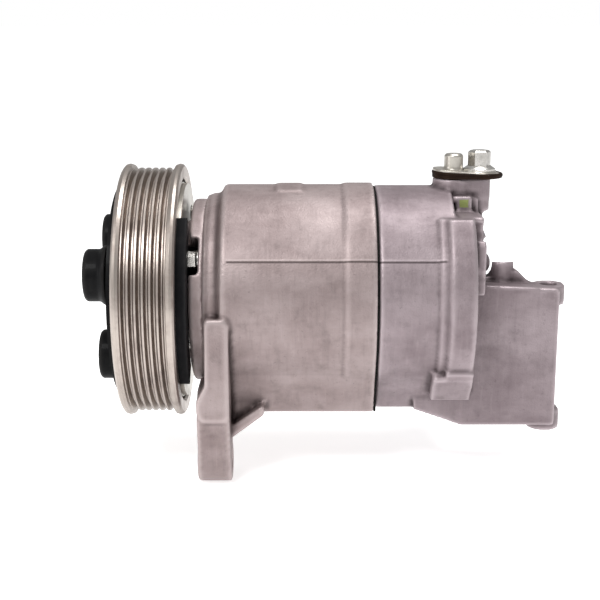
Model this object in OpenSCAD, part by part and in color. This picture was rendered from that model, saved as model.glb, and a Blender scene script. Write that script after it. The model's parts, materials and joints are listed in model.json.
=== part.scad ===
// Automotive air-conditioning compressor with an electromagnetic clutch and a scroll pump inside.
// Frame: X runs along the shaft from the clutch (-X) to the rear head (+X), Z is up, -Y is the near side.
// The origin is on the shaft axis, in the middle of the belt track. All sizes are in millimetres.
// Angles around the shaft are counted from -Y towards +Z.

/* [Belt pulley] */
// number of V grooves
groove_count = 6; // [4:1:8]
// groove pitch of the ribbed belt
groove_pitch = 3.56; // [3.4:0.01:4.7]
// half width of one groove at its mouth
groove_half_top = 1.32; // [1:0.01:1.5]
// half width of one groove at its root
groove_half_root = 0.25; // [0.1:0.01:0.5]
// groove depth
groove_depth = 2.95; // [2:0.05:4]
// radius over the lands
land_r = 63; // [50:0.5:75]
// radius over the two flanges
flange_r = 65; // [52:0.5:80]
// half width of the rim
rim_half = 15; // [12:0.5:20]
// inner radius of the rim
rim_inner_r = 57.5; // [45:0.5:65]
// front of the friction face
friction_x = -14.5; // [-16:0.1:-12]
// thickness of the friction plate
friction_t = 4.5; // [3:0.1:7]
// outer radius of the rotor's inner tube
rotor_tube_r = 31.2; // [29.5:0.1:32]
// rear end of the rotor's inner tube
rotor_tube_end = 9.4; // [9.2:0.1:10]
// flux slots in the outer ring and in the inner ring
slot_count = 6; // [3:1:8]
// sweep of one flux slot
slot_sweep = 46; // [20:1:55]
// width of a flux slot
slot_w = 2.2; // [1:0.1:4]
// radius of the inner ring of flux slots
slot_inner_r = 39; // [36:0.5:44]
// radius of the outer ring of flux slots
slot_outer_r = 49; // [46:0.5:54]

/* [Pulley bearing] */
// bore radius of the pulley bearing
pb_bore_r = 17.5; // [15:0.1:20]
// outer radius of the pulley bearing
pb_outer_r = 27.5; // [25:0.1:30]
// front face of the pulley bearing
pb_x0 = -12; // [-13:0.1:-10]
// width of the pulley bearing
pb_w = 20; // [16:0.1:24]
// outside radius of the inner ring
pb_inner_od_r = 20.8; // [19:0.1:22]
// inside radius of the outer ring
pb_outer_id_r = 24.2; // [23:0.1:26]
// ball radius
pb_ball_r = 2.75; // [2:0.05:3.2]
// balls in each row
pb_balls = 14; // [8:1:18]
// half the distance between the two rows
pb_row_half = 4.2; // [3.4:0.1:6]

/* [Clutch] */
// gap between the armature plate and the rotor when the coil is off
clutch_gap = 0.5; // [0.3:0.05:0.8]
// thickness of the armature plate
armature_t = 3.5; // [2:0.1:5]
// outer radius of the armature plate
armature_r = 53.4; // [45:0.1:56]
// inner radius of the armature plate
armature_inner_r = 27; // [22:0.5:32]
// Radius of the hub's disc between the cups (mm)
hub_disc_r = 30; // [26:0.5:33]
// radius of the three damper cups' centres
cup_pitch_r = 36.4; // [30:0.5:42]
// outer radius of a damper cup
cup_r = 13; // [10:0.1:15]
// front face of the damper cups
cup_front_x = -31; // [-34:0.1:-26]
// wall thickness of a damper cup
cup_wall = 1.6; // [1:0.1:3]
// angle of the first damper cup
cup_angle = 23.2; // [0:0.1:119]
// thickness of the hub spider
hub_plate_t = 2.4; // [1.5:0.1:4]
// gap between the hub spider and the armature plate
hub_armature_gap = 1.2; // [1.2:0.1:2]
// outer radius of the hub sleeve
hub_sleeve_r = 10.6; // [9:0.1:11.3]
// rear end of the hub sleeve
hub_sleeve_end = -9.6; // [-12:0.1:-9.2]
// radius of a damper pin
damper_pin_r = 3; // [2:0.1:5]
// across-flats size of the hub bolt
hub_bolt_af = 10; // [8:0.5:13]
// thickness of the clutch shim
shim_t = 0.6; // [0.2:0.1:1]

/* [Coil] */
// inner radius of the coil shell
coil_inner_r = 32.4; // [31.8:0.1:34]
// outer radius of the coil shell
coil_outer_r = 55.6; // [50:0.1:57]
// front edge of the coil shell
coil_x0 = -8.2; // [-9:0.1:-5]
// wall thickness of the coil shell
coil_wall = 2; // [1.4:0.1:3]
// thickness of the coil's mounting plate
coil_plate_t = 2.5; // [1.5:0.1:4]
// outer radius of the coil's mounting plate
coil_plate_r = 55; // [50:0.1:57]
// outer radius of the moulded lead cover
cover_r = 56.8; // [55.8:0.1:57.2]
// first angle of the moulded lead cover
cover_from = -44; // [-60:1:-20]
// sweep of the moulded lead cover
cover_sweep = 94; // [60:1:120]
// angle of the terminal block and of the first front bolt
terminal_angle = 33.2; // [20:0.1:45]

/* [Front head] */
// radius of the boss that carries the coil
head_boss_r = 31; // [29:0.1:31]
// face the coil's mounting plate rests on
coil_seat_x = 16.5; // [15:0.1:18]
// front of the head's flange
head_flange_x = 20; // [19.9:0.1:22]
// radius of the head's flange
head_flange_r = 47; // [46.6:0.1:50]
// joint between the head and the main housing
head_joint_x = 27; // [26:0.1:29]
// radius of the head's locating spigot
head_spigot_r = 43.9; // [42:0.1:46]
// length of the locating spigot
head_spigot_len = 3.2; // [2:0.1:6]
// radius of the head's rear hub, which holds the main bearing
head_hub_r = 34.6; // [33:0.1:35.5]
// rear end of the head's rear hub
head_hub_end = 49; // [49:0.1:50]
// bore radius of the neck, for the shaft seal
neck_bore_r = 12; // [11.6:0.1:13]
// pitch radius of the front bolts
front_bolt_pcd_r = 39.5; // [39:0.1:40]
// number of front bolts
front_bolt_count = 6; // [4:1:6]
// seat of the front bolts' heads
front_bolt_seat_x = 24.6; // [23:0.1:25.5]

/* [Main housing] */
// outer radius of the main cylinder
body_r = 54.5; // [50:0.1:60]
// outer radius of the stepped front end
body_front_r = 50; // [48:0.1:53]
// outer radius of the raised band at the rear joint
band_r = 55.3; // [54.6:0.1:57]
// front edge of the raised band
band_x = 96.5; // [90:0.5:104]
// rear joint face of the main housing
joint_x = 111.4; // [105:0.1:118]
// inner radius of the crank space
crank_space_r = 46; // [42:0.1:47]
// shoulder the thrust frame rests on
frame_seat_x = 64; // [63:0.1:65]
// inner radius of the scroll space
scroll_space_r = 49; // [48:0.1:50]
// half width of the flat-bottomed keel at its foot
keel_foot_half = 33; // [28:0.5:36]
// depth of the keel's flat below the shaft axis
keel_z = 56.5; // [55.5:0.1:60]
// half width of the keel where it meets the cylinder
keel_top_half = 47; // [42:0.5:48]
// height below the axis where the keel meets the cylinder
keel_top_z = 24; // [20:0.5:26]
// thickness of the joint gasket
gasket_t = 1; // [0.5:0.1:2]

/* [Front ear] */
// front face of the ear
ear_x0 = 23.7; // [22.5:0.1:25]
// width of the ear along the bolt
ear_w = 16.2; // [12:0.1:20]
// radius of the hole for the mounting bolt
ear_bore_r = 5.25; // [4:0.05:6.5]
// height of the mounting hole below the axis
ear_bore_z = 80.2; // [75:0.1:90]
// distance of the mounting hole from the middle plane, towards the near side
ear_bore_y = 38.5; // [30:0.5:45]
// radius of the rounded lug end
ear_end_r = 10; // [8.5:0.1:13]
// near face of the ear's pillar
pillar_y = 56.5; // [52:0.5:58]
// top of the pillar, below the axis
pillar_top = 3; // [1:0.5:20]
// foot of the pillar, below the axis
pillar_foot = 54.5; // [50:0.5:62]

/* [Rear housing] */
// outer radius of the rear housing
rear_r = 54; // [50:0.1:58]
// outer radius of the rear flange
rear_flange_r = 57; // [55.8:0.1:59]
// front edge of the rear flange's first step
rear_step_x = 141.5; // [138:0.1:145]
// half width of the rear housing's keel at its foot
rear_keel_half = 25; // [15:0.5:30]
// height of the flat shoulder that the port tower stands on
shoulder_z = 42.5; // [41.5:0.5:46]
// where the shoulder is cut from
shoulder_x = 150.2; // [150:0.1:152]
// front edge of the rear flange
rear_flange_x = 146.5; // [144:0.1:149]
// rear face of the rear housing
rear_x = 159.2; // [156:0.1:162]
// rear end of the discharge chamber
chamber_end_x = 150; // [148:0.1:152]
// radius of the discharge chamber
chamber_r = 38; // [30:0.5:40]
// seat of the rear bolts' heads
rear_bolt_seat_x = 150; // [148:0.1:153]
// pitch radius of the rear bolts
rear_bolt_pcd_r = 49.6; // [49.3:0.05:49.9]
// radius of the bolt boss columns in the scroll space
rear_boss_r = 5; // [4.4:0.1:5]

/* [Rear bracket] */
// near face of the bracket wall
bracket_y = 30; // [28:0.5:31]
// thickness of the bracket wall
bracket_wall = 6; // [4:0.5:10]
// rear edge of the bracket wall
bracket_x = 203.6; // [195:0.1:210]
// top of the bracket wall
bracket_top = 8; // [4:0.5:12]
// foot of the bracket wall, below the axis
bracket_foot = 64.6; // [60:0.1:70]
// depth of the bracket box from its near face
bracket_depth = 40; // [30:0.5:60]
// position along X of the rear mounting hole
rear_hole_x = 199.6; // [195:0.1:204]
// distance of the rear mounting hole from the middle plane
rear_hole_y = 18.5; // [14:0.5:22]
// radius of the rear mounting hole
rear_hole_r = 4.3; // [4:0.05:5.5]
// radius of the bosses around the rear mounting hole
rear_lug_r = 8.3; // [7:0.1:10]
// position along X of the second rear boss
second_hole_x = 176.4; // [174:0.1:180]
// distance of the second rear boss from the middle plane
second_hole_y = 14; // [12:0.5:16]
// radius of the second rear hole
second_hole_r = 3.4; // [2.5:0.05:4.3]
// radius of the second rear boss
second_lug_r = 6.4; // [5:0.1:8]
// top of the second rear boss
second_lug_top = 18; // [12:0.5:22]
// depth of the second rear hole
second_hole_depth = 22; // [12:1:30]

/* [Port pads] */
// height of a port pad above the shaft axis
pad_z = 58.6; // [58:0.1:62]
// position along X of the port bores
port_x = 152.5; // [151.5:0.1:154]
// radius of the suction port bore
suction_r = 6.5; // [5:0.1:7]
// radius of the discharge port bore
discharge_r = 5.5; // [4:0.1:6.5]
// position along X of the line bolts
line_bolt_x = 165.5; // [164:0.1:168]
// radius of the line bolt's tapped hole
line_bolt_r = 4; // [3:0.1:5]
// depth of the line bolt's tapped hole
line_bolt_depth = 15; // [10:0.5:16]
// radius of the boss around the line bolt
line_boss_r = 5.6; // [5.4:0.1:8]
// length of the boss around the line bolt
line_boss_len = 17.1; // [16:0.1:18]
// rear face of the column under a port pad
column_x = 167.3; // [166:0.1:169]
// radius of the flow passages from the ports
passage_r = 3.7; // [2.5:0.1:3.9]

// position of the suction passage across the middle plane
passage_y = 2.5; // [0:0.5:5]
// height of the suction passage above the axis
passage_z = 48.8; // [48.5:0.1:49.5]

/* [Shipping covers] */
// radius of the cover plate around the port
cover_port_r = 10.5; // [8:0.1:11]
// radius of the cover plate around the bolt
cover_bolt_r = 11.6; // [9:0.1:12]
// slope of the cover plate, in degrees
cover_slope = 4.6; // [2:0.1:6]
// thickness of the cover plate
cover_t = 1.6; // [1:0.1:2.5]
// least thickness of the rubber gasket
cover_gasket_min = 0.4; // [0.3:0.1:1.2]
// radius of the pressed dome over the port
cover_dome_r = 4.8; // [4:0.1:7]
// height of the pressed dome
cover_dome_h = 7.4; // [2:0.1:8]
// across-flats size of the line bolt's head
line_bolt_af = 10; // [8:0.5:13]
// height of the line bolt's hexagon
line_bolt_head = 7.7; // [4:0.1:9]
// thickness of the line bolt's flange
line_bolt_flange_t = 2.4; // [1.2:0.1:3]
// radius of the line bolt's flange
line_bolt_flange_r = 8.2; // [6:0.1:9]

/* [Shaft] */
// radius of the shaft
shaft_r = 8; // [7:0.05:9]
// radius of the shaft where the hub sits
spline_r = 7; // [6:0.05:7.8]
// front end of the shaft
shaft_x0 = -19.2; // [-20:0.1:-17]
// radius of the shaft's bearing journal
journal_r = 15; // [13:0.1:17]
// radius of the shaft's rear collar
collar_r = 18; // [17:0.1:19]
// radius of the crank pin
crank_pin_r = 5.5; // [4.5:0.05:6]
// rear end of the crank pin
crank_pin_end = 75.6; // [75:0.1:76]

/* [Main bearing] */
// front face of the main bearing
mb_x0 = 33; // [32:0.1:34]
// width of the main bearing
mb_w = 16; // [14:0.1:16]
// outer radius of the main bearing
mb_outer_r = 31; // [29:0.1:32]
// outside radius of its inner ring
mb_inner_od_r = 19.6; // [19:0.1:20.5]
// inside radius of its outer ring
mb_outer_id_r = 26.4; // [25.5:0.1:27]
// ball radius of the main bearing
mb_ball_r = 4.75; // [4:0.05:5]
// number of balls in the main bearing
mb_balls = 9; // [7:1:10]

/* [Front needle bearing and seal] */
// front face of the needle bearing
nb_x0 = 1.5; // [1:0.1:3]
// length of the needle bearing
nb_w = 13; // [10:0.1:14]
// outer radius of the needle bearing's shell
nb_outer_r = 11.3; // [11:0.05:11.5]
// needle radius
nb_needle_r = 1; // [0.8:0.05:1.2]
// number of needles
nb_needles = 14; // [10:1:18]
// front face of the shaft seal
seal_x0 = -7; // [-7.4:0.1:-6]
// length of the shaft seal
seal_w = 7.6; // [6:0.1:8]

/* [Crank drive] */
// outer radius of the drive bush
bush_r = 11; // [10:0.05:12]
// front face of the drive bush
bush_x0 = 53; // [52.6:0.1:54]
// rear face of the drive bush
bush_x1 = 74; // [72:0.1:74.4]
// front face of the counterweight
weight_x0 = 53.5; // [53.2:0.1:54]
// thickness of the counterweight
weight_t = 8; // [5:0.1:9]
// outer radius of the counterweight
weight_r = 36; // [28:0.5:40]
// sweep of the counterweight
weight_sweep = 150; // [100:1:170]
// roller radius of the crank needle bearing
cb_roller_r = 1.25; // [1:0.05:1.5]
// number of rollers
cb_rollers = 16; // [12:1:20]
// outer radius of the crank bearing's shell
cb_outer_r = 15.2; // [14.9:0.05:15.5]

/* [Scroll set] */
// spacing between neighbouring turns of a wrap
wrap_pitch = 14.4; // [13.6:0.1:15]
// thickness of a wrap
wrap_t = 3.2; // [2.8:0.1:3.6]
// running gap between the two wraps' flanks
flank_gap = 0.25; // [0.15:0.01:0.4]
// height of the wraps
wrap_h = 30; // [20:0.5:30]
// gap between a wrap's tip and the opposite plate
tip_gap = 0.4; // [0.3:0.05:0.6]
// involute angle where the wraps start, in degrees
wrap_from = 240; // [220:5:280]
// involute angle where the orbiting wrap ends, in degrees
wrap_to = 895; // [820:5:900]
// how much further the fixed wrap runs, in degrees
fixed_extra = 90; // [0:5:100]
// width of the tip seals
tip_seal_w = 1.4; // [1:0.1:1.8]
// depth of the tip seals' grooves
tip_seal_depth = 1.6; // [1:0.1:2.5]
// front face of the orbiting plate
orbit_x0 = 78; // [77.8:0.1:79]
// thickness of the orbiting plate
orbit_plate_t = 9; // [8:0.1:10]
// radius of the orbiting plate
orbit_r = 38; // [37:0.1:38]
// outer radius of the orbiting scroll's boss
orbit_boss_r = 19; // [18:0.1:19.5]
// front face of the orbiting scroll's boss
orbit_boss_x = 62.6; // [62:0.1:64]
// thickness of the fixed scroll's plate
fixed_plate_t = 10.6; // [10:0.1:11]
// outer radius of the fixed scroll
fixed_r = 44.2; // [44:0.05:44.3]
// inner radius of the fixed scroll's outer wall
fixed_wall_r = 42.1; // [42:0.05:42.6]
// radius of the discharge hole
discharge_hole_r = 4.5; // [3:0.1:5.5]
// thickness of the thrust frame
frame_t = 11.5; // [8:0.1:12]
// inner radius of the thrust frame
frame_inner_r = 24; // [23:0.1:25]
// thickness of the wear ring
wear_t = 2.3; // [1.5:0.1:2.3]
// number of anti-rotation pins
pin_count = 4; // [3:1:6]
// radius of an anti-rotation pin
pin_r = 2.5; // [2:0.05:3]
// pitch radius of the anti-rotation pins
pin_pcd_r = 29.3; // [28.5:0.1:29.4]
// wall thickness of an anti-rotation ring
ring_wall = 1.6; // [1.2:0.1:1.7]
// gap between a pin and the inside of its ring
pin_gap = 0.15; // [0.1:0.01:0.3]

/* [Valves] */
// radius of the discharge valve disc
valve_disc_r = 7.4; // [6:0.1:9]
// thickness of the discharge valve disc
valve_disc_t = 1.4; // [0.8:0.1:2]
// travel of the discharge valve disc
valve_lift = 2; // [1:0.1:3]
// distance of the relief valve from the middle plane
relief_y = 12; // [8:0.5:14]
// height of the relief valve above the axis
relief_z = 16.6; // [14:0.1:20]
// face of the relief valve's boss
relief_face_x = 165; // [163:0.1:166]
// outer radius of the relief valve's cap
relief_cap_r = 5.5; // [5:0.1:6.5]
// radius of the relief valve's poppet
relief_poppet_r = 2.6; // [2:0.05:3]
// travel of the relief valve's poppet
relief_lift = 1.2; // [0.5:0.1:2]

/* [Fasteners and clearances] */
// shank radius of the M6 housing bolts
m6_r = 3; // [2.5:0.05:4]
// across-flats size of the M6 bolts' heads
m6_af = 8; // [7:0.5:10]
// height of the M6 bolts' hexagon
m6_head = 5.2; // [3:0.1:6]
// radius of the M6 bolts' flange
m6_flange_r = 5.2; // [4:0.1:6]
// thickness of a bolt's flange
bolt_flange_t = 1.4; // [1:0.1:2]
// clearance around a bolt shank in its hole
bolt_gap = 0.3; // [0.1:0.05:0.6]
// radial clearance of a running fit
run_gap = 0.06; // [0.02:0.01:0.1]
// clearance between a ball and its groove
ball_gap = 0.17; // [0.05:0.01:0.3]
// clearance between parts that locate in each other
fit_gap = 0.1; // [0.05:0.01:0.3]
// free space kept between parts that move past each other
move_gap = 0.2; // [0.15:0.05:0.5]
// Radial room round a fastener in its thread (mm)
thread_gap = 0.05; // [0.02:0.01:0.2]
// thickness of the bearing and seal circlips
circlip_t = 1.1; // [0.8:0.05:1.6]

/* [Output] */
// which sub-part to show

/* [Hidden] */
$fn = 96;
eps = 0.01;
base_r = wrap_pitch / (2 * PI);
orbit_e = wrap_pitch / 2 - wrap_t - flank_gap;
friction_back = friction_x + friction_t;
armature_back = friction_x - clutch_gap;
armature_front = armature_back - armature_t;
hub_back = armature_front - hub_armature_gap;
hub_front = hub_back - hub_plate_t;
pb_x1 = pb_x0 + pb_w;
pb_mid = pb_x0 + pb_w / 2;
pb_pitch_r = (pb_inner_od_r + pb_outer_id_r) / 2;
coil_back = coil_seat_x - coil_plate_t;
mb_x1 = mb_x0 + mb_w;
mb_mid = mb_x0 + mb_w / 2;
mb_pitch_r = (mb_inner_od_r + mb_outer_id_r) / 2;
nb_x1 = nb_x0 + nb_w;
nb_pitch_r = shaft_r + nb_needle_r + run_gap;
cb_pitch_r = bush_r + cb_roller_r + run_gap;
shaft_shoulder_x = hub_sleeve_end + shim_t;
ear_x1 = ear_x0 + ear_w;
gasket_x1 = joint_x + gasket_t;
frame_x1 = frame_seat_x + frame_t;
wear_x1 = frame_x1 + wear_t;
orbit_x1 = orbit_x0 + orbit_plate_t;
fixed_plate_x = orbit_x1 + wrap_h + tip_gap;
fixed_x1 = fixed_plate_x + fixed_plate_t;
ring_r = pin_r + orbit_e + pin_gap;
rear_bore_r = fixed_r + fit_gap;
disc_x1 = fixed_x1 + valve_disc_t;
guard_x0 = disc_x1 + valve_lift;
rear_bolt_angles = [-42, 18, 46, 138, 205, 258];

// ---- helpers ----
module rod_x(x0, x1, r) {
    translate([x0, 0, 0])
        rotate([0, 90, 0])
            cylinder(h = x1 - x0, r = r);
}
module cone_x(x0, x1, r0, r1) {
    translate([x0, 0, 0])
        rotate([0, 90, 0])
            cylinder(h = x1 - x0, r1 = r0, r2 = r1);
}
module ring_x(x0, x1, r_out, r_in) {
    difference() {
        rod_x(x0, x1, r_out);
        rod_x(x0 - 1, x1 + 1, r_in);
    }
}
// a turned body: points are [radius, x]
module turned(points) {
    rotate([0, 90, 0])
        rotate_extrude()
            polygon(points);
}
// a ring of rectangular section, swept from an angle over a sweep
module sector_x(x0, x1, r_in, r_out, from, sweep) {
    rotate([-from, 0, 0])
        rotate([90, 0, -90])
            rotate_extrude(angle = sweep)
                translate([r_in, -x1])
                    square([r_out - r_in, x1 - x0]);
}
module polar(angle, r) {
    rotate([-angle, 0, 0])
        translate([0, -r, 0])
            children();
}
module around(count, from) {
    for (i = [0:count - 1])
        rotate([-from - i * 360 / count, 0, 0])
            children();
}
module hex_x(x0, x1, af) {
    translate([x0, 0, 0])
        rotate([0, 90, 0])
            cylinder(h = x1 - x0, r = af / sqrt(3), $fn = 6);
}
module torus_x(x, ring, wire) {
    translate([x, 0, 0])
        rotate([0, 90, 0])
            rotate_extrude()
                translate([ring, 0])
                    circle(r = wire);
}
module crank_axis() {
    translate([0, 0, orbit_e])
        children();
}
// a bolt along X whose head is on the -X side of its seat
module bolt_x(seat, length, r, af, head, flange) {
    rod_x(seat, seat + length, r);
    rod_x(seat - bolt_flange_t, seat, flange);
    hex_x(seat - bolt_flange_t - head, seat - bolt_flange_t, af);
}
// two circles joined by their outer tangents
function arc(x, r, from, to) = [for (i = [0:30])
    [x + r * cos(from + (to - from) * i / 30), r * sin(from + (to - from) * i / 30)]];
module egg(xa, ra, xb, rb) {
    t = acos((ra - rb) / (xb - xa));
    polygon(concat(arc(xb, rb, -t, t), arc(xa, ra, t, 360 - t)));
}
function flank(a, half) = [
    base_r * cos(a) + (base_r * a * PI / 180 + half) * sin(a),
    base_r * sin(a) - (base_r * a * PI / 180 + half) * cos(a)];
function wrap_points(from, to, half) = concat(
    [for (i = [0:steps(from, to)]) flank(from + (to - from) * i / steps(from, to), half)],
    [for (i = [0:steps(from, to)]) flank(to - (to - from) * i / steps(from, to), -half)]);
function steps(from, to) = ceil((to - from) / 6);
// a spiral wall along X
module wrap(x0, x1, from, to, thick) {
    translate([x0, 0, 0])
        rotate([90, 0, 90])
            linear_extrude(height = x1 - x0)
                mirror([1, 0, 0])
                    polygon(wrap_points(from, to, thick / 2));
}

// ---- pulley and its bearing ----
module pulley() {
    grooves = [for (i = [groove_count - 1:-1:0])
        let (x = (i - (groove_count - 1) / 2) * groove_pitch)
            for (p = [[land_r, x + groove_half_top], [land_r - groove_depth, x + groove_half_root],
                [land_r - groove_depth, x - groove_half_root], [land_r, x - groove_half_top]]) p];
    track = groove_count * groove_pitch / 2;
    color([0.75, 0.74, 0.71])
        difference() {
            turned(concat(
                [[pb_outer_r, friction_x], [pb_outer_r, pb_x1], [pb_outer_r - 1.3, pb_x1],
                    [pb_outer_r - 1.3, rotor_tube_end], [rotor_tube_r, rotor_tube_end],
                    [rotor_tube_r, friction_back], [rim_inner_r, friction_back],
                    [rim_inner_r, rim_half - 1.2], [rim_inner_r + 0.8, rim_half],
                    [flange_r - 1.4, rim_half], [flange_r - 0.3, rim_half - 0.9],
                    [flange_r, rim_half - 2.2], [flange_r - 0.5, track + 0.5],
                    [land_r, track]],
                grooves,
                [[land_r, -track], [flange_r - 0.5, -track - 0.5], [flange_r, -rim_half + 2.2],
                    [flange_r - 0.3, -rim_half + 0.9], [flange_r - 1.4, -rim_half],
                    [rim_inner_r - 1, -rim_half], [rim_inner_r - 1.5, friction_x]]));
            for (r = [slot_inner_r, slot_outer_r])
                for (i = [0:slot_count - 1])
                    sector_x(friction_x - 1, friction_back + 1, r, r + slot_w,
                        i * 360 / slot_count, slot_sweep);
        }
}
module pulley_bearing_outer() {
    color([0.62, 0.63, 0.65])
        difference() {
            ring_x(pb_x0, pb_x1, pb_outer_r, pb_outer_id_r);
            for (s = [-1, 1])
                torus_x(pb_mid + s * pb_row_half, pb_pitch_r, pb_ball_r + ball_gap);
            rod_x(pb_x0 - 1, pb_x0 + 1.4, pb_outer_id_r + 0.6);
            rod_x(pb_x1 - 1.4, pb_x1 + 1, pb_outer_id_r + 0.6);
        }
}
module pulley_bearing_inner() {
    color([0.62, 0.63, 0.65])
        difference() {
            ring_x(pb_x0, pb_x1, pb_inner_od_r, pb_bore_r);
            for (s = [-1, 1])
                torus_x(pb_mid + s * pb_row_half, pb_pitch_r, pb_ball_r + ball_gap);
        }
}
module pulley_bearing_balls() {
    color([0.8, 0.8, 0.82])
        for (s = [-1, 1])
            around(pb_balls, s * 6)
                translate([pb_mid + s * pb_row_half, -pb_pitch_r, 0])
                    sphere(r = pb_ball_r);
}
module pulley_bearing_cages() {
    color([0.25, 0.2, 0.16])
        for (s = [-1, 1])
            difference() {
                ring_x(pb_mid + s * pb_row_half - 3.2, pb_mid + s * pb_row_half + 3.2,
                    pb_pitch_r + 0.9, pb_pitch_r - 0.9);
                around(pb_balls, s * 6)
                    translate([pb_mid + s * pb_row_half, -pb_pitch_r, 0])
                        rotate([90, 0, 0])
                            cylinder(h = 6, r = pb_ball_r + fit_gap, center = true);
            }
}
module pulley_bearing_seals() {
    color([0.12, 0.1, 0.1])
        for (x = [pb_x0 + 0.3, pb_x1 - 1.3])
            ring_x(x, x + 1, pb_outer_id_r + 0.5, pb_inner_od_r + move_gap);
}
module pulley_circlip() {
    color([0.3, 0.3, 0.31])
        difference() {
            ring_x(pb_x0 - 0.05 - circlip_t, pb_x0 - 0.05, pb_bore_r + 2, pb_bore_r - 1);
            translate([pb_x0 - 5, -3, 0])
                cube([10, 6, 40]);
        }
}

// ---- clutch ----
module cup_places() {
    around(3, cup_angle)
        translate([0, -cup_pitch_r, 0])
            children();
}
module armature_plate() {
    color([0.1, 0.1, 0.11])
        difference() {
            union() {
                ring_x(armature_front, armature_back - 0.6, armature_r, armature_inner_r);
                ring_x(armature_back - 0.6 - eps, armature_back, armature_r - 0.8, armature_inner_r);
            }
            cup_places() {
                rod_x(armature_front - 1, armature_back + 1, damper_pin_r);
                rod_x(armature_back - 1.6, armature_back + 1, damper_pin_r + 1.1);
            }
            for (i = [0:2])
                sector_x(armature_front - 1, armature_back + 1, 43.6, 46.2,
                    cup_angle + 36 + i * 120, 48);
        }
}
module damper_pins() {
    color([0.72, 0.72, 0.7])
        cup_places() {
            rod_x(cup_front_x + cup_wall + 4.6, armature_back - 1, damper_pin_r);
            rod_x(armature_back - 1.6, armature_back - 0.3, damper_pin_r + 1.1);
        }
}
module clutch_hub() {
    color([0.09, 0.09, 0.1])
        difference() {
            union() {
                rod_x(hub_front, hub_back - 0.4, hub_disc_r);
                rod_x(hub_front, hub_sleeve_end, hub_sleeve_r);
                cup_places()
                    rod_x(cup_front_x + 1.2, hub_back, cup_r);
                cup_places()
                    cone_x(cup_front_x, cup_front_x + 1.2, cup_r - 1.2, cup_r);
                cup_places() {
                    cone_x(hub_front - 1.9, hub_front + 0.9, cup_r - 0.4, cup_r + 1.8);
                    rod_x(hub_front + 0.9, hub_back, cup_r + 1.8);
                }
            }
            cup_places()
                rod_x(cup_front_x + cup_wall, hub_back + 1, cup_r - cup_wall);
            rod_x(shaft_x0 - 0.3, hub_sleeve_end + 1, spline_r);
            rod_x(hub_front - 1, shaft_x0, m6_r + bolt_gap);
        }
}
module damper_rubbers() {
    color([0.05, 0.05, 0.05])
        cup_places()
            difference() {
                rod_x(cup_front_x + cup_wall + 1, hub_back - 0.2, cup_r - cup_wall);
                rod_x(cup_front_x, hub_back + 1, damper_pin_r + move_gap);
                rod_x(cup_front_x, cup_front_x + cup_wall + 4.2, damper_pin_r + 2);
            }
}
module hub_bolt() {
    color([0.6, 0.6, 0.58])
        bolt_x(hub_front, 14, m6_r, hub_bolt_af, 4, 6);
}
module clutch_shim() {
    color([0.7, 0.68, 0.6])
        ring_x(hub_sleeve_end, shaft_shoulder_x, hub_sleeve_r - 0.6, spline_r + fit_gap);
}
// ---- coil ----
module coil_shell() {
    color([0.66, 0.66, 0.64])
        turned([[coil_inner_r, coil_x0], [coil_inner_r + coil_wall, coil_x0],
            [coil_inner_r + coil_wall, coil_back - 2.4], [coil_outer_r - coil_wall, coil_back - 2.4],
            [coil_outer_r - coil_wall, coil_x0], [coil_outer_r, coil_x0],
            [coil_outer_r, coil_back], [head_boss_r + 3.6, coil_back],
            [head_boss_r + 3.6, coil_back - 1.6], [coil_inner_r, coil_back - 1.6]]);
}
module coil_winding() {
    color([0.6, 0.32, 0.16])
        ring_x(coil_x0 + 0.6, coil_back - 2.6, coil_outer_r - coil_wall - 0.4,
            coil_inner_r + coil_wall + 0.4);
}
module coil_plate() {
    color([0.74, 0.73, 0.7])
        ring_x(coil_back, coil_seat_x, coil_plate_r, head_boss_r + fit_gap);
}
module coil_circlip() {
    color([0.3, 0.3, 0.31])
        difference() {
            ring_x(coil_back - circlip_t, coil_back, head_boss_r + 2.4, head_boss_r - 1);
            translate([coil_back - 5, -4, 0])
                cube([10, 8, 60]);
        }
}
module lead_cover() {
    color([0.07, 0.07, 0.08]) {
        sector_x(coil_back - 2.5, coil_seat_x + eps, coil_outer_r + 0.15, cover_r,
            cover_from, cover_sweep);
        sector_x(coil_seat_x, head_flange_x - 0.1, 45.6, cover_r, cover_from, cover_sweep);
        polar(terminal_angle, 0) {
            translate([coil_seat_x, -46.5, -9.4])
                cube([1.1, 46.5 - 26.4, 18.8]);
            translate([coil_seat_x, -33.4, -9.4])
                cube([7.6, 7, 18.8]);
        }
    }
}

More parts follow.
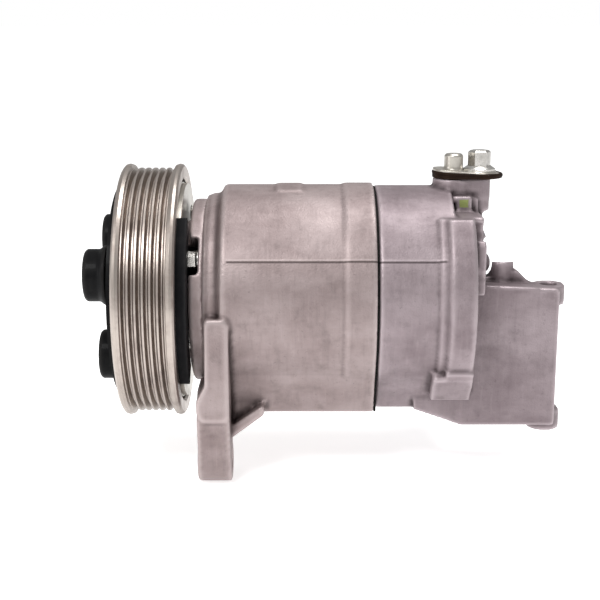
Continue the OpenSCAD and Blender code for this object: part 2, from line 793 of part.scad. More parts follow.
// ---- castings ----
module front_head() {
    color([0.68, 0.62, 0.62])
        difference() {
            union() {
                turned([[neck_bore_r, -14.1], [pb_bore_r - 0.6, -14.1], [pb_bore_r, -13.6],
                    [pb_bore_r, pb_x1], [pb_bore_r + 3.2, pb_x1], [pb_bore_r + 4.4, 11.6],
                    [head_boss_r - 0.5, 11.6], [head_boss_r, 12.1], [head_boss_r, coil_seat_x],
                    [36, coil_seat_x], [36, head_flange_x], [head_flange_r - 1, head_flange_x],
                    [head_flange_r, head_flange_x + 1], [head_flange_r, head_joint_x],
                    [head_spigot_r, head_joint_x], [head_spigot_r, head_joint_x + head_spigot_len],
                    [head_hub_r, head_joint_x + head_spigot_len], [head_hub_r, head_hub_end],
                    [mb_outer_r, head_hub_end], [mb_outer_r, mb_x0], [mb_outer_r - 3.4, mb_x0],
                    [shaft_r + 5, mb_x0 - 4], [shaft_r + 5, nb_x1], [nb_outer_r, nb_x1],
                    [nb_outer_r, nb_x0 - 0.5], [neck_bore_r, nb_x0 - 0.5]]);
            }
            // grooves for the two circlips and for the seal's circlip
            difference() {
                rod_x(pb_x0 - 0.1 - circlip_t, pb_x0, pb_bore_r + 1);
                rod_x(pb_x0 - 3, pb_x0 + 1, pb_bore_r - 1);
            }
            difference() {
                rod_x(coil_back - circlip_t - 0.05, coil_back + 0.05, head_boss_r + 1);
                rod_x(coil_back - 3, coil_back + 1, head_boss_r - 1);
            }
            rod_x(seal_x0 - circlip_t - 0.05, seal_x0, neck_bore_r + 0.9);
            // O-ring groove in the spigot
            difference() {
                rod_x(head_joint_x + 0.6, head_joint_x + 2.6, head_spigot_r + 1);
                rod_x(head_joint_x, head_joint_x + 3, head_spigot_r - 1.5);
            }
            around(front_bolt_count, terminal_angle)
                translate([0, -front_bolt_pcd_r, 0]) {
                    rod_x(front_bolt_seat_x, head_joint_x + 10, m6_r + bolt_gap);
                    rod_x(coil_seat_x, front_bolt_seat_x, m6_flange_r + 0.35);
                }
            // pocket for the coil's terminal block and the near bolt
            polar(terminal_angle, 0)
                translate([coil_seat_x, -60, -9.8])
                    cube([front_bolt_seat_x - coil_seat_x, 34, 19.6]);
        }
}
module front_head_oring() {
    color([0.05, 0.05, 0.05])
        ring_x(head_joint_x + 0.7, head_joint_x + 2.5, head_spigot_r + 0.05, head_spigot_r - 1.45);
}
module front_bolts() {
    color([0.72, 0.71, 0.68])
        around(front_bolt_count, terminal_angle)
            translate([0, -front_bolt_pcd_r, 0])
                bolt_x(front_bolt_seat_x, 18, m6_r, m6_af, m6_head, m6_flange_r);
}
// an upright plate of the ear's outline in Y and Z
module upright(x0, x1) {
    translate([x0, 0, 0])
        rotate([90, 0, 90])
            linear_extrude(height = x1 - x0)
                children();
}
// a plate of an outline in X and Z, from y0 to y1
module side_plate(y0, y1) {
    translate([0, y1, 0])
        rotate([90, 0, 0])
            linear_extrude(height = y1 - y0)
                children();
}
module keel(x0, x1, half) {
    upright(x0, x1)
        polygon([[-keel_top_half, -keel_top_z], [-half, -keel_z],
            [half, -keel_z], [keel_top_half, -keel_top_z], [0, 0]]);
}
module front_ear() {
    // pillar: its near face is flat, and it widens forwards at its foot
    side_plate(-pillar_y, -30)
        polygon([[ear_x0 + 4.3, -pillar_top - 1.5], [ear_x0 + 5.8, -pillar_top],
            [ear_x1 - 1.5, -pillar_top], [ear_x1, -pillar_top - 3], [ear_x1, -pillar_foot + 1.5],
            [ear_x1 - 1.5, -pillar_foot], [ear_x0 + 3, -pillar_foot],
            [ear_x0 + 0.9, -pillar_foot + 2.1], [ear_x0, -pillar_foot + 5],
            [ear_x0, -44], [ear_x0 + 4.3, -36]]);
    // lug with the rounded end
    upright(ear_x0, ear_x1) {
        translate([-ear_bore_y, -ear_bore_z])
            circle(r = ear_end_r);
        polygon([[-ear_bore_y - ear_end_r, -ear_bore_z], [-pillar_y + 1.5, -pillar_foot],
            [-46, -40], [-22, -40], [-24, -60], [-ear_bore_y + ear_end_r, -ear_bore_z]]);
    }
    for (x = [ear_x0 - 0.5, ear_x1 - 0.1])
        translate([0, -ear_bore_y, -ear_bore_z])
            rod_x(x, x + 0.6, ear_end_r - 0.6);
    // gusset to the keel
    side_plate(-43.5, -33)
        polygon([[ear_x1 - 1, -67], [ear_x1 + 1.2, -66.2], [56.5, -54.6], [56.5, -49.4],
            [ear_x1 - 1, -61.2]]);
    side_plate(-36, -24)
        polygon([[ear_x1 - 1, -64], [56.5, -55.6], [56.5, -44], [ear_x1 - 1, -44]]);
}
module main_housing() {
    color([0.67, 0.6, 0.6])
        difference() {
            union() {
                turned([[0, head_joint_x], [body_front_r - 1, head_joint_x],
                    [body_front_r - 1, head_joint_x + 2], [body_front_r, head_joint_x + 3],
                    [body_front_r, 33.5], [body_front_r + 0.6, 34.2], [body_r - 0.6, 35.8],
                    [body_r, 36.7], [body_r, band_x], [band_r, band_x + 0.4],
                    [band_r, joint_x], [0, joint_x]]);
                keel(37.5, joint_x, keel_foot_half);
                front_ear();
                // raised pad on the top and the mould line's bead
                sector_x(63, 75, body_r - 2, body_r + 0.7, 76, 28);
                polar(26.6, body_r - 0.3)
                    rod_x(38, band_x, 0.55);
                polar(-36, body_r - 0.4)
                    rod_x(40, band_x, 0.5);
            }
            // the head sits in the front, inside the ear's foot
            rod_x(head_joint_x - 8, head_joint_x, head_flange_r + 0.5);
            rod_x(head_joint_x - 1, head_joint_x + head_spigot_len + 0.1, head_spigot_r + fit_gap);
            rod_x(head_joint_x, 47, head_hub_r + fit_gap);
            rod_x(46, frame_seat_x + 1, crank_space_r);
            difference() {
                rod_x(frame_seat_x, joint_x + 1, scroll_space_r);
                for (a = rear_bolt_angles)
                    polar(a, rear_bolt_pcd_r)
                        rod_x(frame_seat_x - 1, joint_x + 2, rear_boss_r);
            }
            around(front_bolt_count, terminal_angle)
                translate([0, -front_bolt_pcd_r, 0])
                    rod_x(head_joint_x, 44.6, m6_r + thread_gap);
            for (a = rear_bolt_angles)
                polar(a, rear_bolt_pcd_r)
                    rod_x(93, joint_x + 1, m6_r + thread_gap);
            translate([0, -ear_bore_y, -ear_bore_z])
                rod_x(ear_x0 - 2, ear_x1 + 2, ear_bore_r);
        }
}
module joint_gasket() {
    color([0.08, 0.07, 0.07])
        difference() {
            union() {
                rod_x(joint_x, gasket_x1, rear_r - 0.4);
                upright(joint_x, gasket_x1)
                    polygon([[-keel_top_half + 1, -keel_top_z], [-keel_foot_half, -keel_z + 0.5],
                        [keel_foot_half, -keel_z + 0.5], [keel_top_half - 1, -keel_top_z], [0, 0]]);
            }
            rod_x(joint_x - 1, gasket_x1 + 1, rear_bore_r + 0.6);
            for (a = rear_bolt_angles)
                polar(a, rear_bolt_pcd_r)
                    rod_x(joint_x - 1, gasket_x1 + 1, m6_r + bolt_gap);
            translate([0, passage_y, passage_z])
                rod_x(joint_x - 1, gasket_x1 + 1, passage_r);
        }
}
// a port tower that stands along +Z
module port_tower(near, far) {
    // pad head
    translate([0, 0, pad_z - 11])
        linear_extrude(height = 11)
            intersection() {
                egg(port_x, cover_port_r, line_bolt_x, 5.9);
                translate([140, -near])
                    square([40, near + far]);
            }
    // neck, leaning back from the head to the housing
    translate([0, far, 0])
        rotate([90, 0, 0])
            linear_extrude(height = near + far)
                polygon([[port_x - 8.6, pad_z - 9], [port_x - 3.6, pad_z - 17], [port_x - 3.6, 22],
                    [column_x, 22], [column_x, 39.5], [column_x - 3, 41], [column_x - 3, pad_z - 9]]);
    translate([line_bolt_x, 0, pad_z - line_boss_len])
        cylinder(h = line_boss_len, r = line_boss_r);
    // flank that sweeps down to the flange
    translate([port_x - 1.2, 0, 28])
        cylinder(h = 22, r1 = 19, r2 = 8.6);
}
module rear_bracket() {
    // near wall, keel wedge and top web
    side_plate(-bracket_y, -bracket_y + bracket_wall)
        polygon([[rear_flange_x + 4, bracket_top + 0.8], [bracket_x - 1.2, bracket_top - 1.4],
            [bracket_x, bracket_top - 2.6], [bracket_x, -bracket_foot + 1.2],
            [bracket_x - 1.2, -bracket_foot], [156.5, -bracket_foot], [132, -keel_z + 0.5],
            [132, -40]]);
    side_plate(-bracket_y, -bracket_y + bracket_depth)
        polygon([[132, -keel_z + 6], [132, -keel_z + 0.5], [156.5, -bracket_foot],
            [190, -bracket_foot], [190, -bracket_foot + 6], [150, -bracket_foot + 6]]);
    side_plate(-bracket_y, -second_hole_y + 2)
        polygon([[rear_x - 1, bracket_top + 0.6], [bracket_x - 12, bracket_top - 0.8],
            [bracket_x - 12, 2], [rear_x - 1, 2]]);
    // ribs that tie the wall to the rear face
    side_plate(-8, -2)
        polygon([[rear_x - 1, 4], [166, 4], [190, -bracket_foot + 3], [190, -bracket_foot],
            [rear_x - 1, -bracket_foot]]);
    translate([rear_x - 1, -bracket_y + 1, -34])
        cube([22, bracket_depth - 3, 6]);
    // bosses of the through hole
    translate([rear_hole_x, -rear_hole_y, -3]) {
        cylinder(h = 10, r = rear_lug_r);
    }
    translate([rear_hole_x, -rear_hole_y, -bracket_foot - 4])
        cylinder(h = 10.6, r = rear_lug_r);
    translate([rear_hole_x - 9, -bracket_y + 1, -2.6])
        cube([9, 12, 9]);
    translate([rear_hole_x - 12, -bracket_y + 1, -bracket_foot])
        cube([12, 16, 6]);
    side_plate(-second_hole_y - 5, -second_hole_y + 5)
        polygon([[second_hole_x, second_lug_top - 4], [second_hole_x + 8, second_lug_top - 5],
            [second_hole_x + 14, bracket_top - 1], [second_hole_x + 14, 0], [second_hole_x, 0]]);
    // second boss
    translate([second_hole_x, -second_hole_y, -12])
        cylinder(h = second_lug_top + 12, r = second_lug_r);
    translate([rear_x - 1, -second_hole_y - 4, -12])
        cube([second_hole_x - rear_x + 1, 8, 22]);
    translate([second_hole_x - 3, -bracket_y + 1, -12])
        cube([6, 14, 19]);
}
module port_holes(bore) {
    translate([port_x, 0, 46])
        cylinder(h = 30, r = bore);
    translate([port_x, 0, pad_z - 1.4])
        cylinder(h = 3, r = bore + 1.6);
    translate([line_bolt_x, 0, pad_z - line_bolt_depth])
        cylinder(h = line_bolt_depth + 1, r = line_bolt_r);
}
module rear_housing() {
    color([0.66, 0.59, 0.6])
        difference() {
            union() {
                difference() {
                    turned([[0, gasket_x1], [rear_r - 0.6, gasket_x1], [rear_r, gasket_x1 + 0.6],
                        [rear_r, rear_step_x], [rear_r + 1.3, rear_step_x + 0.8],
                        [rear_r + 1.3, rear_flange_x - 1], [rear_flange_r, rear_flange_x + 0.6],
                        [rear_flange_r, rear_x - 1], [rear_flange_r - 1, rear_x], [0, rear_x]]);
                    translate([shoulder_x, -70, shoulder_z])
                        cube([30, 110, 40]);
                    // the flange runs out above the shoulder
                    difference() {
                        translate([rear_step_x - 0.2, -70, shoulder_z])
                            cube([30, 110, 40]);
                        rod_x(rear_step_x - 2, shoulder_x + 40, rear_r);
                    }
                }
                keel(gasket_x1, rear_step_x + 2, rear_keel_half);
                polar(26.6, rear_r - 0.3)
                    rod_x(gasket_x1 + 1, rear_step_x, 0.5);
                port_tower(10, 12);
                // far side port, turned towards +Y
                rotate([-90, 0, 0])
                    port_tower(12, 12);
                rear_bracket();
                // bolt boss on the near lower side
                polar(-42, 0) {
                    translate([139.3, -59.6, -13])
                        cube([rear_x - 139.3, 16, 19]);
                    translate([145.6, -58.6, 5])
                        cube([rear_x - 145.6, 12, 4.4]);
                }
                // the shoulder's step behind the rear face
                upright(rear_x - 2, relief_face_x - 0.4)
                    polygon([[10, shoulder_z], [-30, shoulder_z], [-42, 30], [-42, 6], [10, 6]]);
                // seat of the paint mark
                translate([port_x + 0.1, -14.6, shoulder_z - 2])
                    cube([7.8, 6.6, 10]);
                // boss of the relief valve
                translate([0, -relief_y, relief_z])
                    rod_x(rear_x - 1, relief_face_x, relief_cap_r + 1.9);
            }
            rod_x(gasket_x1 - 1, fixed_x1, rear_bore_r);
            rod_x(fixed_x1 - 1, chamber_end_x, chamber_r);
            for (a = rear_bolt_angles)
                polar(a, rear_bolt_pcd_r) {
                    rod_x(gasket_x1 - 1, rear_x, m6_r + bolt_gap);
                    rod_x(rear_bolt_seat_x, rear_x + 60, m6_flange_r + 0.4);
                }
            // recess beside the paint pad
            translate([port_x - 4.4, -4, shoulder_z + 2.2])
                rotate([90, 0, 0])
                    cylinder(h = 16, r1 = 1.6, r2 = 3.4);
            // suction: down from the pad and forward to the scroll space
            port_holes(suction_r);
            translate([0, passage_y, passage_z])
                rod_x(gasket_x1 - 1, port_x, passage_r);
            // discharge: out of the chamber to the far side
            rotate([-90, 0, 0]) {
                port_holes(discharge_r);
                translate([port_x - 6.6, 0, 30])
                    cylinder(h = 18, r = 3);
            }
            translate([0, -relief_y, relief_z]) {
                rod_x(chamber_end_x - 1, rear_x + 30, relief_poppet_r - 1);
                rod_x(152, rear_x + 30, relief_cap_r - 1.2);
            }
            translate([rear_hole_x, -rear_hole_y, -90])
                cylinder(h = 120, r = rear_hole_r);
            translate([second_hole_x, -second_hole_y, second_lug_top - second_hole_depth])
                cylinder(h = 60, r = second_hole_r);
            translate([second_hole_x, -second_hole_y, second_lug_top - 1.2])
                cylinder(h = 2.4, r1 = second_hole_r - 0.4, r2 = second_hole_r + 2);
        }
}
module rear_bolts() {
    color([0.72, 0.71, 0.68])
        for (a = rear_bolt_angles)
            polar(a, rear_bolt_pcd_r)
                mirror([1, 0, 0])
                    bolt_x(-rear_bolt_seat_x, 54, m6_r, m6_af, m6_head, m6_flange_r);
}

// ---- shaft line ----
module shaft() {
    color([0.7, 0.7, 0.72])
        difference() {
            union() {
                turned([[0, shaft_x0], [spline_r - 0.6, shaft_x0], [spline_r, shaft_x0 + 0.6],
                    [spline_r, shaft_shoulder_x], [shaft_r, shaft_shoulder_x], [shaft_r, mb_x0 - 6],
                    [journal_r - 1, mb_x0 - 1.5], [journal_r, mb_x0 - 0.5], [journal_r, mb_x1], [collar_r, mb_x1], [collar_r, 51.6],
                    [0, 51.6]]);
                crank_axis()
                    rod_x(50, crank_pin_end, crank_pin_r);
            }
            rod_x(shaft_x0 - 1, -5, m6_r + thread_gap);
            crank_axis()
                ring_x(bush_x1 + 0.1, bush_x1 + 1.1, crank_pin_r + 1, crank_pin_r - 0.8);
        }
}
module shaft_seal() {
    color([0.1, 0.1, 0.1])
        turned([[neck_bore_r, seal_x0], [shaft_r + 2, seal_x0], [shaft_r + 2, seal_x0 + 2.2],
            [shaft_r + run_gap, seal_x0 + 3.4], [shaft_r + run_gap, seal_x0 + 4],
            [shaft_r + 2, seal_x0 + 4.4], [shaft_r + 2, seal_x0 + seal_w - 0.2],
            [neck_bore_r, seal_x0 + seal_w - 0.2]]);
}
module seal_circlip() {
    color([0.3, 0.3, 0.31])
        difference() {
            ring_x(seal_x0 - circlip_t, seal_x0, neck_bore_r + 0.8, neck_bore_r - 2);
            translate([seal_x0 - 5, -2, 0])
                cube([10, 4, 40]);
        }
}
module needle_bearing_shell() {
    color([0.6, 0.61, 0.63])
        ring_x(nb_x0, nb_x1, nb_outer_r, nb_pitch_r + nb_needle_r + run_gap);
}
module needle_bearing_needles() {
    color([0.8, 0.8, 0.82])
        around(nb_needles, 0)
            translate([0, -nb_pitch_r, 0])
                rod_x(nb_x0 + 0.8, nb_x1 - 0.8, nb_needle_r);
}
module main_bearing_outer() {
    color([0.62, 0.63, 0.65])
        difference() {
            ring_x(mb_x0, mb_x1, mb_outer_r, mb_outer_id_r);
            torus_x(mb_mid, mb_pitch_r, mb_ball_r + ball_gap);
        }
}
module main_bearing_inner() {
    color([0.62, 0.63, 0.65])
        difference() {
            ring_x(mb_x0, mb_x1, mb_inner_od_r, journal_r);
            torus_x(mb_mid, mb_pitch_r, mb_ball_r + ball_gap);
        }
}
module main_bearing_balls() {
    color([0.8, 0.8, 0.82])
        around(mb_balls, 10)
            translate([mb_mid, -mb_pitch_r, 0])
                sphere(r = mb_ball_r);
}
module main_bearing_cage() {
    color([0.55, 0.45, 0.25])
        difference() {
            ring_x(mb_mid - 5.6, mb_mid + 5.6, mb_pitch_r + 1.2, mb_pitch_r - 1.2);
            around(mb_balls, 10)
                translate([mb_mid, -mb_pitch_r, 0])
                    rotate([90, 0, 0])
                        cylinder(h = 8, r = mb_ball_r + fit_gap, center = true);
        }
}
module drive_bush() {
    color([0.66, 0.66, 0.68])
        crank_axis()
            ring_x(bush_x0, bush_x1, bush_r, crank_pin_r + 0.02);
}
module counterweight() {
    color([0.5, 0.5, 0.5])
        difference() {
            union() {
                crank_axis()
                    rod_x(weight_x0 + 0.4, weight_x0 + weight_t - 0.4, bush_r + 4);
                sector_x(weight_x0, weight_x0 + weight_t, 5, weight_r,
                    -90 - weight_sweep / 2, weight_sweep);
            }
            crank_axis()
                rod_x(weight_x0 - 1, weight_x0 + weight_t + 1, bush_r);
        }
}
module bush_circlip() {
    color([0.3, 0.3, 0.31])
        crank_axis()
            difference() {
                ring_x(bush_x1 + 0.15, bush_x1 + 1.05, crank_pin_r + 2, crank_pin_r - 0.8);
                translate([bush_x1 - 2, -1.8, 0])
                    cube([6, 3.6, 20]);
            }
}
module crank_bearing_shell() {
    color([0.6, 0.61, 0.63])
        crank_axis()
            ring_x(orbit_boss_x + 0.6, bush_x1, cb_outer_r, cb_pitch_r + cb_roller_r + run_gap);
}
module crank_bearing_rollers() {
    color([0.8, 0.8, 0.82])
        crank_axis()
            around(cb_rollers, 0)
                translate([0, -cb_pitch_r, 0])
                    rod_x(orbit_boss_x + 1.2, bush_x1 - 0.8, cb_roller_r);
}

// ---- scroll set ----
module pin_places() {
    around(pin_count, 45)
        translate([0, -pin_pcd_r, 0])
            children();
}
module thrust_frame() {
    color([0.6, 0.58, 0.58])
        difference() {
            ring_x(frame_seat_x, frame_x1, scroll_space_r - fit_gap, frame_inner_r);
            for (a = rear_bolt_angles)
                polar(a, rear_bolt_pcd_r)
                    rod_x(frame_seat_x - 1, frame_x1 + 1, rear_boss_r + fit_gap);
            pin_places()
                rod_x(frame_seat_x + 2, frame_x1 + 1, pin_r);
            // oil and gas ways
            for (i = [0:3])
                rotate([i * 90, 0, 0])
                    translate([0, -35, 0])
                        rod_x(frame_seat_x - 1, frame_x1 + 1, 3.5);
        }
}
module wear_ring() {
    color([0.55, 0.56, 0.58])
        difference() {
            ring_x(frame_x1, wear_x1, 41.6, frame_inner_r + 1);
            pin_places()
                rod_x(frame_x1 - 1, wear_x1 + 1, pin_r + fit_gap);
        }
}
module anti_rotation_pins() {
    color([0.75, 0.75, 0.77])
        pin_places()
            rod_x(frame_seat_x + 2, orbit_x0 + 4.6, pin_r);
}
module anti_rotation_rings() {
    color([0.65, 0.65, 0.68])
        crank_axis()
            pin_places()
                ring_x(orbit_x0 + 0.3, orbit_x0 + 5, ring_r + ring_wall, ring_r);
}
module orbiting_scroll() {
    color([0.78, 0.77, 0.76])
        crank_axis()
            difference() {
                union() {
                    rod_x(orbit_x0, orbit_x1, orbit_r);
                    rod_x(orbit_boss_x, orbit_x0 + 1, orbit_boss_r);
                    wrap(orbit_x1 - 1, orbit_x1 + wrap_h, wrap_from, wrap_to, wrap_t);
                }
                rod_x(orbit_boss_x - 1, orbit_x0 - 1, cb_outer_r);
                pin_places()
                    rod_x(orbit_x0 - 1, orbit_x0 + 5.2, ring_r + ring_wall);
                wrap(orbit_x1 + wrap_h - tip_seal_depth, orbit_x1 + wrap_h + 1,
                    wrap_from + 20, wrap_to - 12, tip_seal_w + 0.1);
            }
}
module orbiting_tip_seal() {
    color([0.85, 0.8, 0.66])
        crank_axis()
            wrap(orbit_x1 + wrap_h - tip_seal_depth, orbit_x1 + wrap_h + tip_gap - move_gap,
                wrap_from + 21, wrap_to - 13, tip_seal_w);
}
module fixed_scroll() {
    color([0.76, 0.75, 0.74])
        difference() {
            union() {
                rod_x(fixed_plate_x, fixed_x1, fixed_r);
                ring_x(frame_x1, fixed_plate_x + 1, fixed_r, fixed_wall_r);
                rotate([180, 0, 0])
                    wrap(orbit_x1 + tip_gap, fixed_plate_x + 1, wrap_from,
                        wrap_to + fixed_extra, wrap_t);
            }
            rod_x(fixed_plate_x - 1, fixed_x1 + 1, discharge_hole_r);
            rotate([180, 0, 0])
                wrap(orbit_x1, orbit_x1 + tip_gap + tip_seal_depth,
                    wrap_from + 20, wrap_to + fixed_extra - 12, tip_seal_w + 0.1);
            // suction windows in the outer wall
            for (i = [0:2])
                sector_x(orbit_x1 + 4, fixed_plate_x - 2, fixed_wall_r - 0.6, fixed_r + 1,
                    62 + i * 120, 44);
            difference() {
                rod_x(121, 123.6, fixed_r + 1);
                rod_x(120, 124, fixed_r - 1.8);
            }
            for (s = [-1, 1])
                translate([0, s * 14, 0])
                    rod_x(fixed_x1 - 8, fixed_x1 + 1, 2 + thread_gap);
        }
}
module fixed_tip_seal() {
    color([0.85, 0.8, 0.66])
        rotate([180, 0, 0])
            wrap(orbit_x1 + move_gap, orbit_x1 + tip_gap + tip_seal_depth,
                wrap_from + 21, wrap_to + fixed_extra - 13, tip_seal_w);
}
module fixed_scroll_oring() {
    color([0.05, 0.05, 0.05])
        ring_x(121.1, 123.5, fixed_r + 0.05, fixed_r - 1.75);
}
module discharge_valve() {
    color([0.6, 0.62, 0.66])
        rod_x(fixed_x1 + 0.02, disc_x1, valve_disc_r);
}
module valve_guard() {
    color([0.52, 0.52, 0.54])
        difference() {
            union() {
                rod_x(guard_x0, guard_x0 + 2.2, valve_disc_r + 1.8);
                ring_x(fixed_x1 + 1, guard_x0 + 1, valve_disc_r + 1.8, valve_disc_r + 0.3);
                for (s = [-1, 1])
                    translate([fixed_x1, s * 14 - 5.4, -4.5])
                        cube([guard_x0 + 2.2 - fixed_x1, 10.8, 9]);
            }
            rod_x(fixed_x1 - 1, guard_x0, valve_disc_r + 0.3);
            // gas ways through the guard's wall
            for (a = [30, 90, 150, 210, 270, 330])
                polar(a + 90, valve_disc_r + 1)
                    rod_x(fixed_x1, guard_x0 + 3, 1.6);
            for (s = [-1, 1])
                translate([0, s * 14, 0])
                    rod_x(fixed_x1 - 1, guard_x0 + 4, 2 + fit_gap);
        }
}
module guard_screws() {
    color([0.7, 0.7, 0.68])
        for (s = [-1, 1])
            translate([0, s * 14, 0]) {
                rod_x(fixed_x1 - 7, guard_x0 + 2.3, 2);
                difference() {
                    rod_x(guard_x0 + 2.2, guard_x0 + 5.4, 3.4);
                    hex_x(guard_x0 + 3.6, guard_x0 + 6, 3);
                }
            }
}

// ---- relief valve ----
module relief_cap() {
    inner = relief_poppet_r + move_gap;
    color([0.7, 0.66, 0.66])
        translate([0, -relief_y, relief_z])
            turned([[inner, 154.5], [relief_cap_r - 1.2, 154.5], [relief_cap_r - 1.2, relief_face_x],
                [relief_cap_r, relief_face_x], [relief_cap_r, relief_face_x + 2.2],
                [relief_cap_r - 0.5, relief_face_x + 3.4], [relief_cap_r - 1.6, relief_face_x + 4.7],
                [relief_cap_r - 3.2, relief_face_x + 5.5], [0.8, relief_face_x + 5.7],
                [0.8, relief_face_x + 0.6], [inner, relief_face_x + 0.6]]);
}
module relief_poppet() {
    color([0.7, 0.7, 0.72])
        translate([0, -relief_y, relief_z]) {
            rod_x(152.02, 153.6, relief_poppet_r);
            rod_x(153.6, 157.6, 1.5);
        }
}
// each half turn is a tilted half ring, so the turns climb
module relief_spring() {
    turns = 5;
    per = 20;
    sides = 10;
    wire = 0.35;
    mean = 2.1;
    x0 = 153.62 + wire + 0.1;
    pitch = (relief_face_x + 0.5 - wire - x0) / turns;
    last = turns * per;
    rings = [for (i = [0:last], j = [0:sides - 1])
        let (a = i * 360 / per, b = j * 360 / sides, r = mean + wire * cos(b))
            [i * pitch / per + wire * sin(b), r * cos(a), r * sin(a)]];
    skin = [for (i = [0:last - 1], j = [0:sides - 1], k = [0, 1])
        let (p = i * sides + j, q = i * sides + (j + 1) % sides)
            k == 0 ? [p, q, q + sides] : [p, q + sides, p + sides]];
    ends = [[for (j = [0:sides - 1]) sides - 1 - j],
        [for (j = [0:sides - 1]) last * sides + j]];
    color([0.6, 0.6, 0.62])
        translate([x0, -relief_y, relief_z])
            polyhedron(points = rings, faces = concat(skin, ends));
}

// ---- shipping covers: drawn along +Z, and the far side's is turned ----
module cover_plate_shape() {
    egg(port_x, cover_port_r, line_bolt_x, cover_bolt_r);
}
module slope(dz) {
    // the sloping plane of the plate's underside, raised by dz
    translate([line_bolt_x + cover_bolt_r, 0, pad_z + cover_gasket_min + dz])
        rotate([0, cover_slope, 0])
            children();
}
module one_cover() {
    difference() {
        union() {
            intersection() {
                translate([0, 0, pad_z])
                    linear_extrude(height = 12)
                        cover_plate_shape();
                slope(0)
                    translate([-60, -30, 0])
                        cube([80, 60, cover_t]);
            }
            translate([port_x, 0, pad_z + 3])
                cylinder(h = cover_dome_h + 0.6, r = cover_dome_r);
            translate([port_x, 0, pad_z + cover_dome_h + 3.6])
                cylinder(h = 1, r1 = cover_dome_r, r2 = cover_dome_r - 1);
            translate([line_bolt_x, 0, pad_z + 1.6])
                cylinder(h = 2, r = line_bolt_flange_r + 0.4);
        }
        translate([port_x, 0, pad_z])
            cylinder(h = cover_dome_h + 3.2, r = cover_dome_r - 1.2);
        translate([line_bolt_x, 0, pad_z - 1])
            cylinder(h = 10, r = line_bolt_r + bolt_gap);
    }
}
module one_gasket() {
    difference() {
        intersection() {
            translate([0, 0, pad_z])
                linear_extrude(height = 6)
                    egg(port_x, cover_port_r + 0.3, line_bolt_x, cover_bolt_r + 0.3);
            slope(0)
                translate([-60, -30, -20])
                    cube([80, 60, 20]);
        }
        translate([line_bolt_x, 0, pad_z + 1.6])
            cylinder(h = 9, r = line_bolt_flange_r + 0.4);
        translate([line_bolt_x, 0, pad_z - 1])
            cylinder(h = 10, r = line_bolt_r + bolt_gap);
        translate([port_x, 0, pad_z - 1])
            cylinder(h = 10, r = cover_dome_r - 1.2);
    }
}
module one_line_bolt() {
    translate([line_bolt_x, 0, 0]) {
        translate([0, 0, pad_z - line_bolt_depth + 1])
            cylinder(h = line_bolt_depth - 1 + 3.7, r = line_bolt_r - move_gap);
        translate([0, 0, pad_z + 3.6])
            cylinder(h = line_bolt_flange_t, r1 = line_bolt_flange_r, r2 = line_bolt_flange_r - 1.6);
        translate([0, 0, pad_z + 3.6 + line_bolt_flange_t])
            cylinder(h = line_bolt_head, r = line_bolt_af / sqrt(3), $fn = 6);
    }
}
module suction_cover() {
    color([0.78, 0.75, 0.72])
        one_cover();
}
module suction_gasket() {
    color([0.09, 0.06, 0.06])
        one_gasket();
}
module suction_line_bolt() {
    color([0.74, 0.74, 0.74])
        one_line_bolt();
}
module discharge_cover() {
    color([0.78, 0.75, 0.72])
        rotate([-90, 0, 0])
            one_cover();
}
module discharge_gasket() {
    color([0.09, 0.06, 0.06])
        rotate([-90, 0, 0])
            one_gasket();
}
module discharge_line_bolt() {
    color([0.74, 0.74, 0.74])
        rotate([-90, 0, 0])
            one_line_bolt();
}

// ---- output ----
pulley();
pulley_bearing_outer();
pulley_bearing_inner();
pulley_bearing_balls();
pulley_bearing_cages();
pulley_bearing_seals();
pulley_circlip();
armature_plate();
damper_pins();
clutch_hub();
damper_rubbers();
hub_bolt();
clutch_shim();
coil_shell();
coil_winding();
coil_plate();
coil_circlip();
lead_cover();
front_head();
front_head_oring();
front_bolts();
main_housing();
joint_gasket();
rear_housing();
rear_bolts();
shaft();
shaft_seal();
seal_circlip();
needle_bearing_shell();
needle_bearing_needles();
main_bearing_outer();
main_bearing_inner();
main_bearing_balls();
main_bearing_cage();
drive_bush();
counterweight();
bush_circlip();
crank_bearing_shell();
crank_bearing_rollers();
thrust_frame();
wear_ring();
anti_rotation_pins();
anti_rotation_rings();
orbiting_scroll();
orbiting_tip_seal();
fixed_scroll();
fixed_tip_seal();
fixed_scroll_oring();
discharge_valve();
valve_guard();
guard_screws();
relief_cap();
relief_poppet();
relief_spring();
suction_cover();
suction_gasket();
suction_line_bolt();
discharge_cover();
discharge_gasket();
discharge_line_bolt();
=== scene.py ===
# %% [markdown]
# # An automotive air conditioning compressor
# The imported model is the fixed frame of this lesson: every node already has its true size and
# place. Here each visible casting gets the soft edges of sand-cast metal, the screws get
# chamfered shapes, and every piece gets a finish built from nodes.

# %% Load the frame
import bpy
import bmesh
import json
import math
import numpy as np
from mathutils import Vector, Matrix


